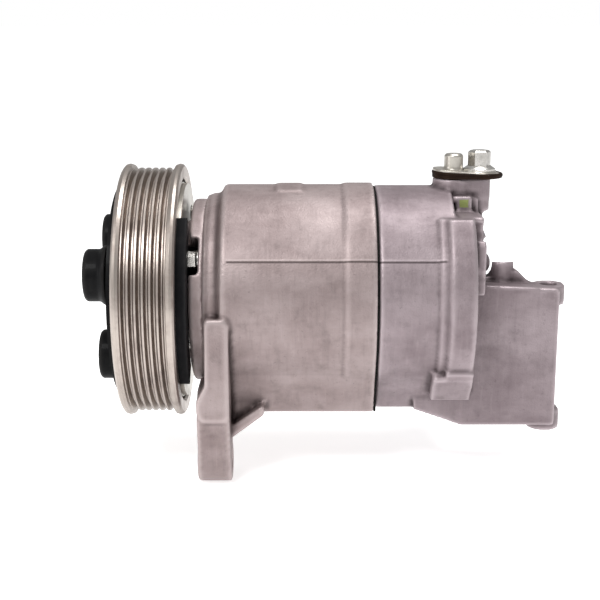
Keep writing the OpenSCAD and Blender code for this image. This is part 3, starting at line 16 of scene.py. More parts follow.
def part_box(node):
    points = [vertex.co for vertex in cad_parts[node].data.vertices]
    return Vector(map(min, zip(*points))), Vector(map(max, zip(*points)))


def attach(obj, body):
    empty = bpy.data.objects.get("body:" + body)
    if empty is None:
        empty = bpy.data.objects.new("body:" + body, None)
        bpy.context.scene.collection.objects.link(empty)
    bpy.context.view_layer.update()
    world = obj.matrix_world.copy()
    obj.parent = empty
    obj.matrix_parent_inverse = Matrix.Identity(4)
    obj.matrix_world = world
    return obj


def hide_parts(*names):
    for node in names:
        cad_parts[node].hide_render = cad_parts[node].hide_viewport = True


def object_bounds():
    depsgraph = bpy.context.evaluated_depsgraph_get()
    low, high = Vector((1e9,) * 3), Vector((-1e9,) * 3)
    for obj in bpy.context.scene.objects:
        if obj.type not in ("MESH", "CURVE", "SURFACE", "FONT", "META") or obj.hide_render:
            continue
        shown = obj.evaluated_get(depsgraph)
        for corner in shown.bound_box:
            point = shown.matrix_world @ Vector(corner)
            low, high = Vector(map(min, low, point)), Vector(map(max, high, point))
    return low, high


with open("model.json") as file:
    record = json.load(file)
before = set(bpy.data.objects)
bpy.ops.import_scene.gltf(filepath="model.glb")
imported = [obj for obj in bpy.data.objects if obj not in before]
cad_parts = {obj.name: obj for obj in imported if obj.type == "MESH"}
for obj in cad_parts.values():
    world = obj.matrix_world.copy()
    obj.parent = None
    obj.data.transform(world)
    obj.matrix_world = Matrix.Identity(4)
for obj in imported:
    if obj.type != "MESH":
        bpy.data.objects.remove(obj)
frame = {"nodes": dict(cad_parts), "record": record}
cad_low, cad_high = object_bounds()
nodes = frame["nodes"]

# %% [markdown]
# ## The camera
# A long lens well away from the compressor keeps its cylinders from bulging. It stands square to
# the shaft, a little above it, so the tops of the castings and the port cap both show.

# %% Camera
MM = 0.001
TARGET = Vector((74.3, 0, -5.9)) * MM
DISTANCE = 627 * MM
TILT = math.radians(13)
camera_data = bpy.data.cameras.new("camera")
camera_data.lens = 72
camera_data.sensor_width = 36
camera_data.clip_start = 0.01
camera_data.clip_end = 300
camera = bpy.data.objects.new("camera", camera_data)
bpy.context.scene.collection.objects.link(camera)
camera.location = TARGET + DISTANCE * Vector((0, -math.cos(TILT), math.sin(TILT)))
camera.rotation_euler = (math.radians(90) - TILT, 0, 0)
bpy.context.scene.camera = camera
print("camera at", [round(c, 3) for c in camera.location])

# %% [markdown]
# ## Helpers for node trees
# Shader groups and geometry trees are both built from code, so two small helpers keep them
# readable: one makes a tree with named sockets, the other adds a node and fills its inputs.

# %% Tree helpers
def new_tree(name, kind, inputs, outputs):
    tree = bpy.data.node_groups.new(name, kind)
    for label, socket_type, default in inputs:
        socket = tree.interface.new_socket(name=label, in_out="INPUT", socket_type=socket_type)
        if default is not None:
            socket.default_value = default
    for label, socket_type in outputs:
        tree.interface.new_socket(name=label, in_out="OUTPUT", socket_type=socket_type)
    return tree, tree.nodes.new("NodeGroupInput"), tree.nodes.new("NodeGroupOutput")


def add(tree, kind, links=(), **settings):
    node = tree.nodes.new(kind)
    values = settings.pop("values", {})
    for key, value in settings.items():
        setattr(node, key, value)
    for key, value in values.items():
        node.inputs[key].default_value = value
    for key, source in dict(links).items():
        tree.links.new(source, node.inputs[key])
    return node


def maths(tree, operation, *terms, clamp=False):
    node = tree.nodes.new("ShaderNodeMath")
    node.operation = operation
    node.use_clamp = clamp
    for index, term in enumerate(terms):
        if isinstance(term, (int, float)):
            node.inputs[index].default_value = term
        else:
            tree.links.new(term, node.inputs[index])
    return node.outputs[0]


def mix_colour(tree, factor, first, second, blend="MIX"):
    node = tree.nodes.new("ShaderNodeMix")
    node.data_type = "RGBA"
    node.blend_type = blend
    for index, value in ((0, factor), (6, first), (7, second)):
        socket = node.inputs[index]
        if isinstance(value, (int, float, tuple)):
            socket.default_value = value
        else:
            tree.links.new(value, socket)
    return node.outputs[2]


def band(tree, value, low, high):
    node = tree.nodes.new("ShaderNodeMapRange")
    node.interpolation_type = "SMOOTHSTEP"
    tree.links.new(value, node.inputs[0])
    node.inputs[1].default_value = low
    node.inputs[2].default_value = high
    return node.outputs[0]


def noise(tree, where, scale, detail=4.0, roughness=0.55):
    node = add(tree, "ShaderNodeTexNoise", {"Vector": where},
               values={"Scale": scale, "Detail": detail, "Roughness": roughness})
    return node.outputs[0]

# %% [markdown]
# ## Sand-cast aluminium
# A casting copies the sand it was poured in: a fine grain, broader hollows, and stains where it
# was handled. The group puts out a colour, a roughness and a height, and reads two attributes
# that the castings carry: one on sharp edges, lightened as rubbed metal and a painted highlight,
# and one in inner corners, darkened as painted shade.

# %% Cast skin group
PARTING_ANGLE = math.radians(26.6)


def cast_skin_group():
    tree, entry, out = new_tree(
        "cast skin", "ShaderNodeTree",
        [("Metal", "NodeSocketColor", (0.5, 0.45, 0.45, 1)), ("Stain And Shade", "NodeSocketColor", (0.2, 0.15, 0.14, 1)),
         ("Bright", "NodeSocketColor", (0.8, 0.76, 0.76, 1)), ("Grain", "NodeSocketFloat", 1.0),
         ("Dirt", "NodeSocketFloat", 0.5)],
        [("Color", "NodeSocketColor"), ("Roughness", "NodeSocketFloat"), ("Height", "NodeSocketFloat")])
    where = add(tree, "ShaderNodeTexCoord").outputs["Object"]
    stretch = add(tree, "ShaderNodeMapping", {"Vector": where}, values={"Scale": (0.55, 1, 1)}).outputs[0]
    cloud = noise(tree, stretch, 38, 5, 0.6)
    patch = noise(tree, where, 120, 5, 0.62)
    drawn = add(tree, "ShaderNodeMapping", {"Vector": where}, values={"Scale": (3.2, 1, 0.35)}).outputs[0]
    streak = noise(tree, drawn, 150, 4, 0.6)
    sand = noise(tree, where, 1500, 2, 0.5)
    pits = noise(tree, where, 620, 3, 0.6)
    wear = add(tree, "ShaderNodeAttribute", attribute_name="wear").outputs["Fac"]
    painted_crease_shade = add(tree, "ShaderNodeAttribute", attribute_name="painted_crease_shade").outputs["Fac"]
    metal = mix_colour(tree, band(tree, cloud, 0.3, 0.72), entry.outputs["Metal"], entry.outputs["Bright"])
    metal = mix_colour(tree, 0.55, entry.outputs["Metal"], metal)
    dark_streaks = maths(tree, "MULTIPLY", band(tree, streak, 0.5, 0.74), 0.12)
    light_streaks = maths(tree, "MULTIPLY", band(tree, streak, 0.46, 0.28), 0.13)
    metal = mix_colour(tree, dark_streaks, metal, entry.outputs["Stain And Shade"])
    metal = mix_colour(tree, light_streaks, metal, entry.outputs["Bright"])
    stained = maths(tree, "MULTIPLY", band(tree, patch, 0.5, 0.78), entry.outputs["Dirt"])
    metal = mix_colour(tree, stained, metal, entry.outputs["Stain And Shade"])
    specks = maths(tree, "MULTIPLY", band(tree, pits, 0.6, 0.8), 0.35)
    metal = mix_colour(tree, specks, metal, entry.outputs["Stain And Shade"])
    # painted shade: inner corners from the curvature attribute are darkened towards the stain colour
    metal = mix_colour(tree, maths(tree, "MULTIPLY", painted_crease_shade, 0.95, clamp=True), metal, entry.outputs["Stain And Shade"])
    # painted highlight, partly rubbed metal: ridges from the curvature attribute are lightened towards the bright
    # colour and made a little glossier
    rubbed_and_highlit = maths(tree, "MULTIPLY", wear, maths(tree, "ADD", 0.5, maths(tree, "MULTIPLY", patch, 0.6)), clamp=True)
    metal = mix_colour(tree, rubbed_and_highlit, metal, entry.outputs["Bright"])
    # the mould's parting line along the shaft, a thin bead drawn only in colour: a painted shadow beneath it and a
    # painted highlight above
    parts = add(tree, "ShaderNodeSeparateXYZ", {0: where})
    beside = maths(tree, "ADD", maths(tree, "MULTIPLY", parts.outputs[1], math.sin(PARTING_ANGLE)),
                   maths(tree, "MULTIPLY", parts.outputs[2], math.cos(PARTING_ANGLE)))
    outward = maths(tree, "SQRT", maths(tree, "ADD", maths(tree, "MULTIPLY", parts.outputs[1], parts.outputs[1]),
                                        maths(tree, "MULTIPLY", parts.outputs[2], parts.outputs[2])))
    on_body = maths(tree, "MULTIPLY", band(tree, outward, 0.0515, 0.0525),
                    band(tree, parts.outputs[0], 0.0385, 0.0395))
    towards_front = maths(tree, "MULTIPLY", parts.outputs[0], -1.0)
    on_body = maths(tree, "MULTIPLY", on_body, band(tree, towards_front, -0.1455, -0.1435))
    near_side = maths(tree, "MULTIPLY", parts.outputs[1], -1.0)
    on_body = maths(tree, "MULTIPLY", on_body, band(tree, near_side, 0.0, 0.001))
    under = maths(tree, "ABSOLUTE", maths(tree, "ADD", beside, 0.0006))
    bead_shadow = maths(tree, "MULTIPLY", maths(tree, "SUBTRACT", 1.0, band(tree, under, 0.0002, 0.0008)), on_body)
    metal = mix_colour(tree, maths(tree, "MULTIPLY", bead_shadow, 0.85), metal, entry.outputs["Stain And Shade"])
    above = maths(tree, "ABSOLUTE", maths(tree, "SUBTRACT", beside, 0.0005))
    bead_highlight = maths(tree, "MULTIPLY", maths(tree, "SUBTRACT", 1.0, band(tree, above, 0.0001, 0.0007)), on_body)
    metal = mix_colour(tree, maths(tree, "MULTIPLY", bead_highlight, 0.5), metal, entry.outputs["Bright"])
    tree.links.new(metal, out.inputs["Color"])
    rough = maths(tree, "ADD", 0.4, maths(tree, "MULTIPLY", patch, 0.26))
    rough = maths(tree, "SUBTRACT", rough, maths(tree, "MULTIPLY", rubbed_and_highlit, 0.14), clamp=True)
    tree.links.new(rough, out.inputs["Roughness"])
    relief = maths(tree, "ADD", maths(tree, "MULTIPLY", sand, 0.4), maths(tree, "MULTIPLY", pits, 0.5))
    relief = maths(tree, "ADD", relief, maths(tree, "MULTIPLY", patch, 0.9))
    tree.links.new(maths(tree, "MULTIPLY", relief, entry.outputs["Grain"]), out.inputs["Height"])
    return tree


cast_skin = cast_skin_group()
print("cast skin:", len(cast_skin.nodes), "nodes")

# %% [markdown]
# ## Turned and ground steel
# Turning leaves fine rings round the shaft. They are noise read along X and along the distance
# from the shaft only, so they never break at a seam, and a slower noise adds handling marks.

# %% Turned steel group
def turned_group():
    tree, entry, out = new_tree(
        "turned steel", "ShaderNodeTree",
        [("Metal", "NodeSocketColor", (0.6, 0.59, 0.57, 1)), ("Dull", "NodeSocketColor", (0.3, 0.28, 0.25, 1)),
         ("Dirt", "NodeSocketFloat", 0.3), ("Gloss", "NodeSocketFloat", 0.3)],
        [("Color", "NodeSocketColor"), ("Roughness", "NodeSocketFloat"), ("Height", "NodeSocketFloat")])
    where = add(tree, "ShaderNodeTexCoord").outputs["Object"]
    parts = add(tree, "ShaderNodeSeparateXYZ", {0: where})
    across = maths(tree, "ADD", maths(tree, "MULTIPLY", parts.outputs[1], parts.outputs[1]),
                   maths(tree, "MULTIPLY", parts.outputs[2], parts.outputs[2]))
    radius = maths(tree, "SQRT", across)
    rings_at = add(tree, "ShaderNodeCombineXYZ", {0: parts.outputs[0], 1: radius}).outputs[0]
    rings = noise(tree, rings_at, 2600, 3, 0.6)
    marks = noise(tree, where, 90, 6, 0.65)
    scuffs = noise(tree, where, 700, 3, 0.6)
    dulled = maths(tree, "MULTIPLY", band(tree, marks, 0.45, 0.75), entry.outputs["Dirt"])
    colour = mix_colour(tree, dulled, entry.outputs["Metal"], entry.outputs["Dull"])
    ringed = maths(tree, "MULTIPLY", band(tree, rings, 0.45, 0.8), 0.25)
    colour = mix_colour(tree, ringed, colour, entry.outputs["Dull"])
    tree.links.new(colour, out.inputs["Color"])
    rough = maths(tree, "ADD", entry.outputs["Gloss"], maths(tree, "MULTIPLY", rings, 0.12))
    rough = maths(tree, "ADD", rough, maths(tree, "MULTIPLY", dulled, 0.3), clamp=True)
    tree.links.new(rough, out.inputs["Roughness"])
    tree.links.new(maths(tree, "ADD", rings, maths(tree, "MULTIPLY", scuffs, 0.4)), out.inputs["Height"])
    return tree


turned_steel = turned_group()
print("turned steel:", len(turned_steel.nodes), "nodes")

# %% [markdown]
# ## Paint, plastic and rubber
# These are dark, and what shows is their sheen: dust in a broad noise, a fine orange-peel or
# moulded grain in the height, and sharp edges lightened towards the dust colour from the castings'
# curvature attribute, partly rubbed paint and partly a painted highlight.

# %% Dark coat group
def dark_coat_group():
    tree, entry, out = new_tree(
        "dark coat", "ShaderNodeTree",
        [("Coat", "NodeSocketColor", (0.02, 0.02, 0.02, 1)), ("Dust And Highlight", "NodeSocketColor", (0.2, 0.19, 0.18, 1)),
         ("Dustiness", "NodeSocketFloat", 0.3), ("Sheen Loss", "NodeSocketFloat", 0.4),
         ("Grain Scale", "NodeSocketFloat", 900.0)],
        [("Color", "NodeSocketColor"), ("Roughness", "NodeSocketFloat"), ("Height", "NodeSocketFloat")])
    where = add(tree, "ShaderNodeTexCoord").outputs["Object"]
    cloud = noise(tree, where, 140, 6, 0.7)
    grain = add(tree, "ShaderNodeTexNoise", {"Vector": where, "Scale": entry.outputs["Grain Scale"]},
                values={"Detail": 3.0}).outputs[0]
    wear = add(tree, "ShaderNodeAttribute", attribute_name="wear").outputs["Fac"]
    dust_and_edge_highlight = maths(tree, "MULTIPLY", band(tree, cloud, 0.42, 0.8), entry.outputs["Dustiness"])
    # painted highlight, partly rubbed: sharp edges are lightened towards the dust colour
    dust_and_edge_highlight = maths(tree, "ADD", dust_and_edge_highlight, maths(tree, "MULTIPLY", wear, 0.22), clamp=True)
    tree.links.new(mix_colour(tree, dust_and_edge_highlight, entry.outputs["Coat"], entry.outputs["Dust And Highlight"]), out.inputs["Color"])
    rough = maths(tree, "ADD", entry.outputs["Sheen Loss"], maths(tree, "MULTIPLY", cloud, 0.25), clamp=True)
    tree.links.new(rough, out.inputs["Roughness"])
    tree.links.new(grain, out.inputs["Height"])
    return tree


dark_coat = dark_coat_group()
print("dark coat:", len(dark_coat.nodes), "nodes")

# %% [markdown]
# ## A dab of inspection paint
# A leak test ends with a dab of paint on the small pad beside the port. The group is a mask: a box
# in Object coordinates whose edge a noise makes ragged, so the dab looks brushed on.

# %% Paint dab group
def paint_dab_group():
    tree, entry, out = new_tree(
        "paint dab", "ShaderNodeTree",
        [("Skin", "NodeSocketColor", (0.3, 0.25, 0.25, 1)), ("Paint", "NodeSocketColor", (0.26, 0.3, 0.1, 1)),
         ("Centre", "NodeSocketVector", (0.1564, -0.0146, 0.047)),
         ("Half Size", "NodeSocketVector", (0.0024, 0.0022, 0.0021))],
        [("Color", "NodeSocketColor"), ("Mask", "NodeSocketFloat")])
    where = add(tree, "ShaderNodeTexCoord").outputs["Object"]
    off = add(tree, "ShaderNodeVectorMath", {0: where, 1: entry.outputs["Centre"]}, operation="SUBTRACT").outputs[0]
    off = add(tree, "ShaderNodeVectorMath", {0: off, 1: entry.outputs["Half Size"]}, operation="DIVIDE").outputs[0]
    parts = add(tree, "ShaderNodeSeparateXYZ", {0: off})
    along, across, up = (maths(tree, "ABSOLUTE", parts.outputs[i]) for i in range(3))
    far = maths(tree, "MAXIMUM", along, maths(tree, "MAXIMUM", across, up))
    ragged = maths(tree, "ADD", far, maths(tree, "MULTIPLY", noise(tree, where, 700, 3, 0.6), 0.5))
    mask = maths(tree, "SUBTRACT", 1.0, band(tree, ragged, 1.08, 1.26))
    tree.links.new(mix_colour(tree, mask, entry.outputs["Skin"], entry.outputs["Paint"]), out.inputs["Color"])
    tree.links.new(mask, out.inputs["Mask"])
    return tree


paint_dab = paint_dab_group()
print("paint dab:", len(paint_dab.nodes), "nodes")

# %% [markdown]
# ## One material for each finish
# The Principled BSDF stays in the material itself, and the groups feed its colour, roughness and
# bump. Constant values are typed straight on the shader.

# %% Finishes
def finish(name, group, values, bump, metallic, coat=0.0, specular=0.5):
    material = bpy.data.materials.new(name)
    material.use_nodes = True
    tree = material.node_tree
    shader = tree.nodes["Principled BSDF"]
    skin = tree.nodes.new("ShaderNodeGroup")
    skin.node_tree = group
    for key, value in values.items():
        skin.inputs[key].default_value = value
    relief = add(tree, "ShaderNodeBump", {"Height": skin.outputs["Height"]},
                 values={"Strength": bump, "Distance": 0.0006})
    tree.links.new(skin.outputs["Color"], shader.inputs["Base Color"])
    tree.links.new(skin.outputs["Roughness"], shader.inputs["Roughness"])
    tree.links.new(relief.outputs["Normal"], shader.inputs["Normal"])
    shader.inputs["Metallic"].default_value = metallic
    shader.inputs["Coat Weight"].default_value = coat
    shader.inputs["Specular IOR Level"].default_value = specular
    return material


# the stain colour is both real staining and the painted shade in corners and under the parting bead
def cast(name, metal, bright, stain_and_shade, grain, dirt):
    return finish(name, cast_skin, {"Metal": metal + (1,), "Bright": bright + (1,), "Stain And Shade": stain_and_shade + (1,),
                                    "Grain": grain, "Dirt": dirt}, 0.45, 0.55)


def steel(name, metal, dull, dirt, gloss, bump=0.12, metallic=1.0):
    return finish(name, turned_steel, {"Metal": metal + (1,), "Dull": dull + (1,), "Dirt": dirt,
                                       "Gloss": gloss}, bump, metallic)


# the dust colour is both real dust and the painted highlight on sharp edges
def dark(name, coat, dust_and_highlight, dustiness, sheen_loss, grain_scale, bump=0.2, clear=0.0):
    return finish(name, dark_coat, {"Coat": coat + (1,), "Dust And Highlight": dust_and_highlight + (1,), "Dustiness": dustiness,
                                    "Sheen Loss": sheen_loss, "Grain Scale": grain_scale}, bump, 0.0, clear, 0.06)


finishes = {
    "cast_front": cast("cast front", (0.213, 0.164, 0.161), (0.43, 0.36, 0.355), (0.046, 0.031, 0.03), 1.0, 0.22),
    "cast_rear": cast("cast rear", (0.178, 0.139, 0.149), (0.4, 0.338, 0.354), (0.045, 0.031, 0.034), 1.0, 0.22),
    "machined_aluminium": steel("machined aluminium", (0.78, 0.77, 0.75), (0.5, 0.48, 0.46), 0.3, 0.28),
    "pulley_steel": steel("pulley steel", (0.42, 0.37, 0.335), (0.15, 0.115, 0.1), 0.5, 0.3),
    "bearing_steel": steel("bearing steel", (0.62, 0.62, 0.63), (0.4, 0.4, 0.4), 0.2, 0.16),
    "polished_steel": steel("polished steel", (0.75, 0.75, 0.76), (0.55, 0.55, 0.55), 0.1, 0.06, 0.03),
    "spring_steel": steel("spring steel", (0.32, 0.32, 0.34), (0.12, 0.11, 0.1), 0.4, 0.3),
    "zinc_steel": steel("zinc plate", (0.5, 0.475, 0.43), (0.2, 0.17, 0.145), 0.6, 0.28),
    "bolt_steel": steel("bolt steel", (0.6, 0.58, 0.55), (0.16, 0.145, 0.13), 0.5, 0.18),
    "iron": steel("machined iron", (0.24, 0.235, 0.23), (0.1, 0.09, 0.08), 0.5, 0.45),
    "copper_winding": steel("enamelled wire", (0.62, 0.27, 0.12), (0.3, 0.1, 0.05), 0.3, 0.3, 0.3, 0.6),
    "black_paint": dark("black paint", (0.004, 0.004, 0.0045), (0.05, 0.047, 0.044), 0.12, 0.34, 1300, 0.15, 0.02),
    "black_plastic": dark("black plastic", (0.005, 0.005, 0.006), (0.05, 0.048, 0.047), 0.16, 0.42, 2200, 0.2),
    "cage_polymer": dark("cage polymer", (0.10, 0.085, 0.06), (0.3, 0.28, 0.25), 0.2, 0.4, 1500, 0.2),
    "seal_polymer": dark("seal polymer", (0.2, 0.1, 0.05), (0.3, 0.22, 0.15), 0.2, 0.4, 1500, 0.2),
    "black_rubber": dark("black rubber", (0.006, 0.0055, 0.0055), (0.05, 0.046, 0.043), 0.25, 0.6, 1600, 0.3),
    "brown_rubber": dark("brown rubber", (0.012, 0.006, 0.004), (0.06, 0.034, 0.02), 0.25, 0.45, 1600, 0.3),
}
painted = finishes["cast_rear"].node_tree
dab = add(painted, "ShaderNodeGroup", node_tree=paint_dab)
cast_colour = next(n for n in painted.nodes if n.type == "GROUP" and n.node_tree == cast_skin).outputs["Color"]
painted.links.new(cast_colour, dab.inputs["Skin"])
painted.links.new(dab.outputs["Color"], painted.nodes["Principled BSDF"].inputs["Base Color"])
slot_of = {s["node"]: s["material_slot"] for s in frame["record"]["subparts"]}
for name, node in nodes.items():
    node.data.materials.clear()
    node.data.materials.append(finishes[slot_of[name]])
print("finishes:", len(finishes))

# %% [markdown]
# ## Soft edges on the castings
# A casting has no sharp edge: its pattern is rounded and sand fills the corners. The exact solid
# is copied, its loose faces are welded, and a voxel remesh followed by a few smoothing passes
# rounds every edge by about a millimetre and fills every inner corner with a small fillet. The
# bend of the surface at each vertex is stored as two attributes for the cast skin to read: one on
# ridges, for rubbed edges and a painted highlight, and one in corners, for painted shade. A wall
# no thicker than a voxel tears, so soften can first
# fill a hidden hole beside it with plugs.

# %% Casting helper
def bend_of(mesh):
    count = len(mesh.vertices)
    place = np.empty(count * 3)
    normal = np.empty(count * 3)
    mesh.vertices.foreach_get("co", place)
    mesh.vertices.foreach_get("normal", normal)
    ends = np.empty(len(mesh.edges) * 2, np.int64)
    mesh.edges.foreach_get("vertices", ends)
    place, normal, ends = place.reshape(-1, 3), normal.reshape(-1, 3), ends.reshape(-1, 2)
    a, b = ends[:, 0], ends[:, 1]
    total, links = np.zeros((count, 3)), np.zeros(count)
    for here, there in ((a, b), (b, a)):
        np.add.at(total, here, place[there])
        np.add.at(links, here, 1)
    step = np.linalg.norm(place[a] - place[b], axis=1).mean()
    bend = np.einsum("ij,ij->i", place - total / links[:, None], normal) / step
    for _ in range(2):
        near = np.zeros(count)
        np.add.at(near, a, bend[b])
        np.add.at(near, b, bend[a])
        bend = 0.5 * bend + 0.5 * near / links
    return bend


def loose_boxes(name):
    work = bmesh.new()
    work.from_mesh(nodes[name].data)
    bmesh.ops.remove_doubles(work, verts=work.verts, dist=2e-6)
    left, boxes = set(work.verts), []
    while left:
        queue, island = [left.pop()], []
        while queue:
            vertex = queue.pop()
            island.append(vertex.co.copy())
            for edge in vertex.link_edges:
                other = edge.other_vert(vertex)
                if other in left:
                    left.remove(other)
                    queue.append(other)
        boxes.append((Vector([min(c[i] for c in island) for i in range(3)]),
                      Vector([max(c[i] for c in island) for i in range(3)])))
    work.free()
    return boxes


def soften(name, voxel, passes, full_wear=0.09, plugs=()):
    source = nodes[name]
    mesh = source.data.copy()
    work = bmesh.new()
    work.from_mesh(mesh)
    bmesh.ops.remove_doubles(work, verts=work.verts, dist=2e-6)
    for centre, radius, length in plugs:
        bmesh.ops.create_cone(work, cap_ends=True, segments=24, radius1=radius, radius2=radius, depth=length,
                              matrix=Matrix.Translation(centre) @ Matrix.Rotation(math.pi / 2, 4, "Y"))
    work.to_mesh(mesh)
    work.free()
    piece = bpy.data.objects.new(name + "_skin", mesh)
    bpy.context.scene.collection.objects.link(piece)
    remesh = piece.modifiers.new("sand", "REMESH")
    remesh.mode = "VOXEL"
    remesh.voxel_size = voxel * MM
    smooth = piece.modifiers.new("fillet", "SMOOTH")
    smooth.factor = 0.5
    smooth.iterations = passes
    bpy.context.view_layer.update()
    made = bpy.data.meshes.new_from_object(piece.evaluated_get(bpy.context.evaluated_depsgraph_get()))
    piece.modifiers.clear()
    piece.data = made
    made.materials.clear()
    made.materials.append(finishes[slot_of[name]])
    made.polygons.foreach_set("use_smooth", [True] * len(made.polygons))
    bend = bend_of(made)
    # ridges feed the rubbed edges and painted highlight, corners the painted shade
    for label, values in (("wear", bend / full_wear), ("painted_crease_shade", -bend / full_wear)):
        layer = made.attributes.new(label, "FLOAT", "POINT")
        layer.data.foreach_set("value", np.clip(values - 0.1, 0, 1).astype(np.float32))
    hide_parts(name)
    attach(piece, body_of[name])
    print(name, "->", len(made.polygons), "faces")
    return piece


body_of = {n: body for body, members in frame["record"]["behaviour"]["bodies"].items() for n in members}

# %% [markdown]
# ## The three castings and the clutch hub
# The housings share one coarse sand. The front head and the clutch's pressed hub are finer, so a
# smaller voxel keeps their steps.

# %% Castings
main_skin = soften("main_housing", 1.05, 3)
# the wall outside each long bolt is about a voxel thick, so at the joint the hidden hole is filled
joint_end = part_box("joint_gasket")[1][0]
mouths = [(Vector((joint_end + 2.5 * MM, (low.y + high.y) / 2, (low.z + high.z) / 2)), 3.6 * MM, 5 * MM)
          for low, high in loose_boxes("rear_bolts")]
rear_skin = soften("rear_housing", 1.0, 3, plugs=mouths)
head_skin = soften("front_head", 0.9, 3)
hub_skin = soften("clutch_hub", 0.55, 4)
lead_skin = soften("lead_cover", 0.6, 3)
cap_skins = [soften(side + "_" + part, size, 3)
             for side in ("suction", "discharge") for part, size in (("cover", 0.3), ("gasket", 0.3))]
relief_skin = soften("relief_cap", 0.3, 3)

# %% [markdown]
# ## Flange bolts
# Every bolt head on the compressor is the same idea: a shank, a flange with a cone on it, a hexagon
# with a chamfered top. One Geometry Nodes tree draws it once and puts
# a copy on each point, so its sizes are typed once for each pattern of bolts. The points are the
# places of the CAD bolts, read from the frame, and Realize Instances makes the copies real.

# %% Flange bolt tree
def flange_bolt_tree():
    inputs = [("Geometry", "NodeSocketGeometry", None), ("Across Flats", "NodeSocketFloat", 0.008),
              ("Head Height", "NodeSocketFloat", 0.005), ("Flange Radius", "NodeSocketFloat", 0.005),
              ("Flange Height", "NodeSocketFloat", 0.0015), ("Shank Radius", "NodeSocketFloat", 0.003),
              ("Shank Length", "NodeSocketFloat", 0.02), ("Turn", "NodeSocketVector", (0, 0, 0)),
              ("Finish", "NodeSocketMaterial", None)]
    tree, entry, out = new_tree("flange bolts", "GeometryNodeTree", inputs, [("Geometry", "NodeSocketGeometry")])
    size = entry.outputs

    def stack(vertices, low, high, bottom, top):
        """A closed cone between two heights along Z."""
        made = add(tree, "GeometryNodeMeshCone", values={"Vertices": vertices, "Side Segments": 1, "Fill Segments": 1})
        tree.links.new(top, made.inputs["Radius Top"])
        tree.links.new(bottom, made.inputs["Radius Bottom"])
        tree.links.new(maths(tree, "SUBTRACT", high, low), made.inputs["Depth"])
        lift = add(tree, "ShaderNodeCombineXYZ", {2: low})
        return add(tree, "GeometryNodeTransform", {"Geometry": made.outputs["Mesh"],
                                                   "Translation": lift.outputs[0]}).outputs[0]

    corner = maths(tree, "DIVIDE", size["Across Flats"], math.sqrt(3))
    flange, height, shank = size["Flange Radius"], size["Flange Height"], size["Shank Radius"]
    head_top = maths(tree, "ADD", height, size["Head Height"])
    chamfer = maths(tree, "SUBTRACT", head_top, maths(tree, "MULTIPLY", corner, 0.16))
    rim = maths(tree, "MULTIPLY", height, 0.35)
    zero = maths(tree, "MULTIPLY", height, 0.0)
    join = add(tree, "GeometryNodeJoinGeometry")
    rows = [stack(32, maths(tree, "MULTIPLY", size["Shank Length"], -1.0), zero, shank, shank),
            stack(64, zero, rim, flange, flange),
            stack(64, rim, height, flange, maths(tree, "MULTIPLY", corner, 1.02)),
            stack(6, zero, chamfer, corner, corner),
            stack(6, chamfer, head_top, corner, maths(tree, "MULTIPLY", corner, 0.82))]
    for row in rows:
        tree.links.new(row, join.inputs[0])
    place = add(tree, "GeometryNodeInstanceOnPoints", {"Points": size["Geometry"], "Instance": join.outputs[0]})
    tree.links.new(size["Turn"], place.inputs["Rotation"])
    real = add(tree, "GeometryNodeRealizeInstances", {0: place.outputs[0]})
    coat = add(tree, "GeometryNodeSetMaterial", {"Geometry": real.outputs[0], "Material": size["Finish"]})
    tree.links.new(coat.outputs[0], out.inputs[0])
    return tree


bolt_tree = flange_bolt_tree()
print("flange bolts:", len(bolt_tree.nodes), "nodes")


# %% [markdown]
# ### Where the bolts stand
# loose_boxes, defined with the castings, gives the box of each bolt in a node: the middle of the
# box across the bolt's axis, and its two ends along it. made_by runs a tree once and keeps the
# result as a plain mesh.

# %% Bolt patterns
def made_by(tree, name, points, edges, values):
    mesh = bpy.data.meshes.new(name)
    mesh.from_pydata(points, edges, [])
    piece = bpy.data.objects.new(name, mesh)
    bpy.context.scene.collection.objects.link(piece)
    build = piece.modifiers.new("build", "NODES")
    build.node_group = tree
    for socket in tree.interface.items_tree:
        if socket.in_out == "INPUT" and socket.name in values:
            build[socket.identifier] = values[socket.name]
    bpy.context.view_layer.update()
    made = bpy.data.meshes.new_from_object(piece.evaluated_get(bpy.context.evaluated_depsgraph_get()))
    piece.modifiers.clear()
    piece.data = made
    return piece


def bolt_pattern(name, axis, sign, flats, head, flange_height):
    """Bolts along an axis whose heads point to sign; the flange seats where the CAD's does."""
    boxes = loose_boxes(name)
    across = [i for i in range(3) if i != axis]
    points = []
    for low, high in boxes:
        point = (low + high) / 2
        point[axis] = (high if sign > 0 else low)[axis] - sign * (head + flange_height)
        points.append(point)
    low, high = boxes[0]
    radius = (high[across[0]] - low[across[0]]) / 2
    length = (high - low)[axis] - head - flange_height
    turn = {(0, 1): (0, math.pi / 2, 0), (0, -1): (0, -math.pi / 2, 0), (2, 1): (0, 0, 0),
            (1, 1): (-math.pi / 2, 0, 0)}[(axis, sign)]
    piece = made_by(bolt_tree, name + "_hex", points, [],
                    {"Across Flats": flats, "Head Height": head, "Flange Radius": radius,
                     "Flange Height": flange_height, "Shank Radius": SHANK[name], "Shank Length": length,
                     "Turn": turn, "Finish": finishes[slot_of[name]]})
    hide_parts(name)
    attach(piece, body_of[name])
    print(name, len(points), "bolts, flange radius", round(radius / MM, 2), "mm, shank", round(length / MM, 1), "mm")
    return piece


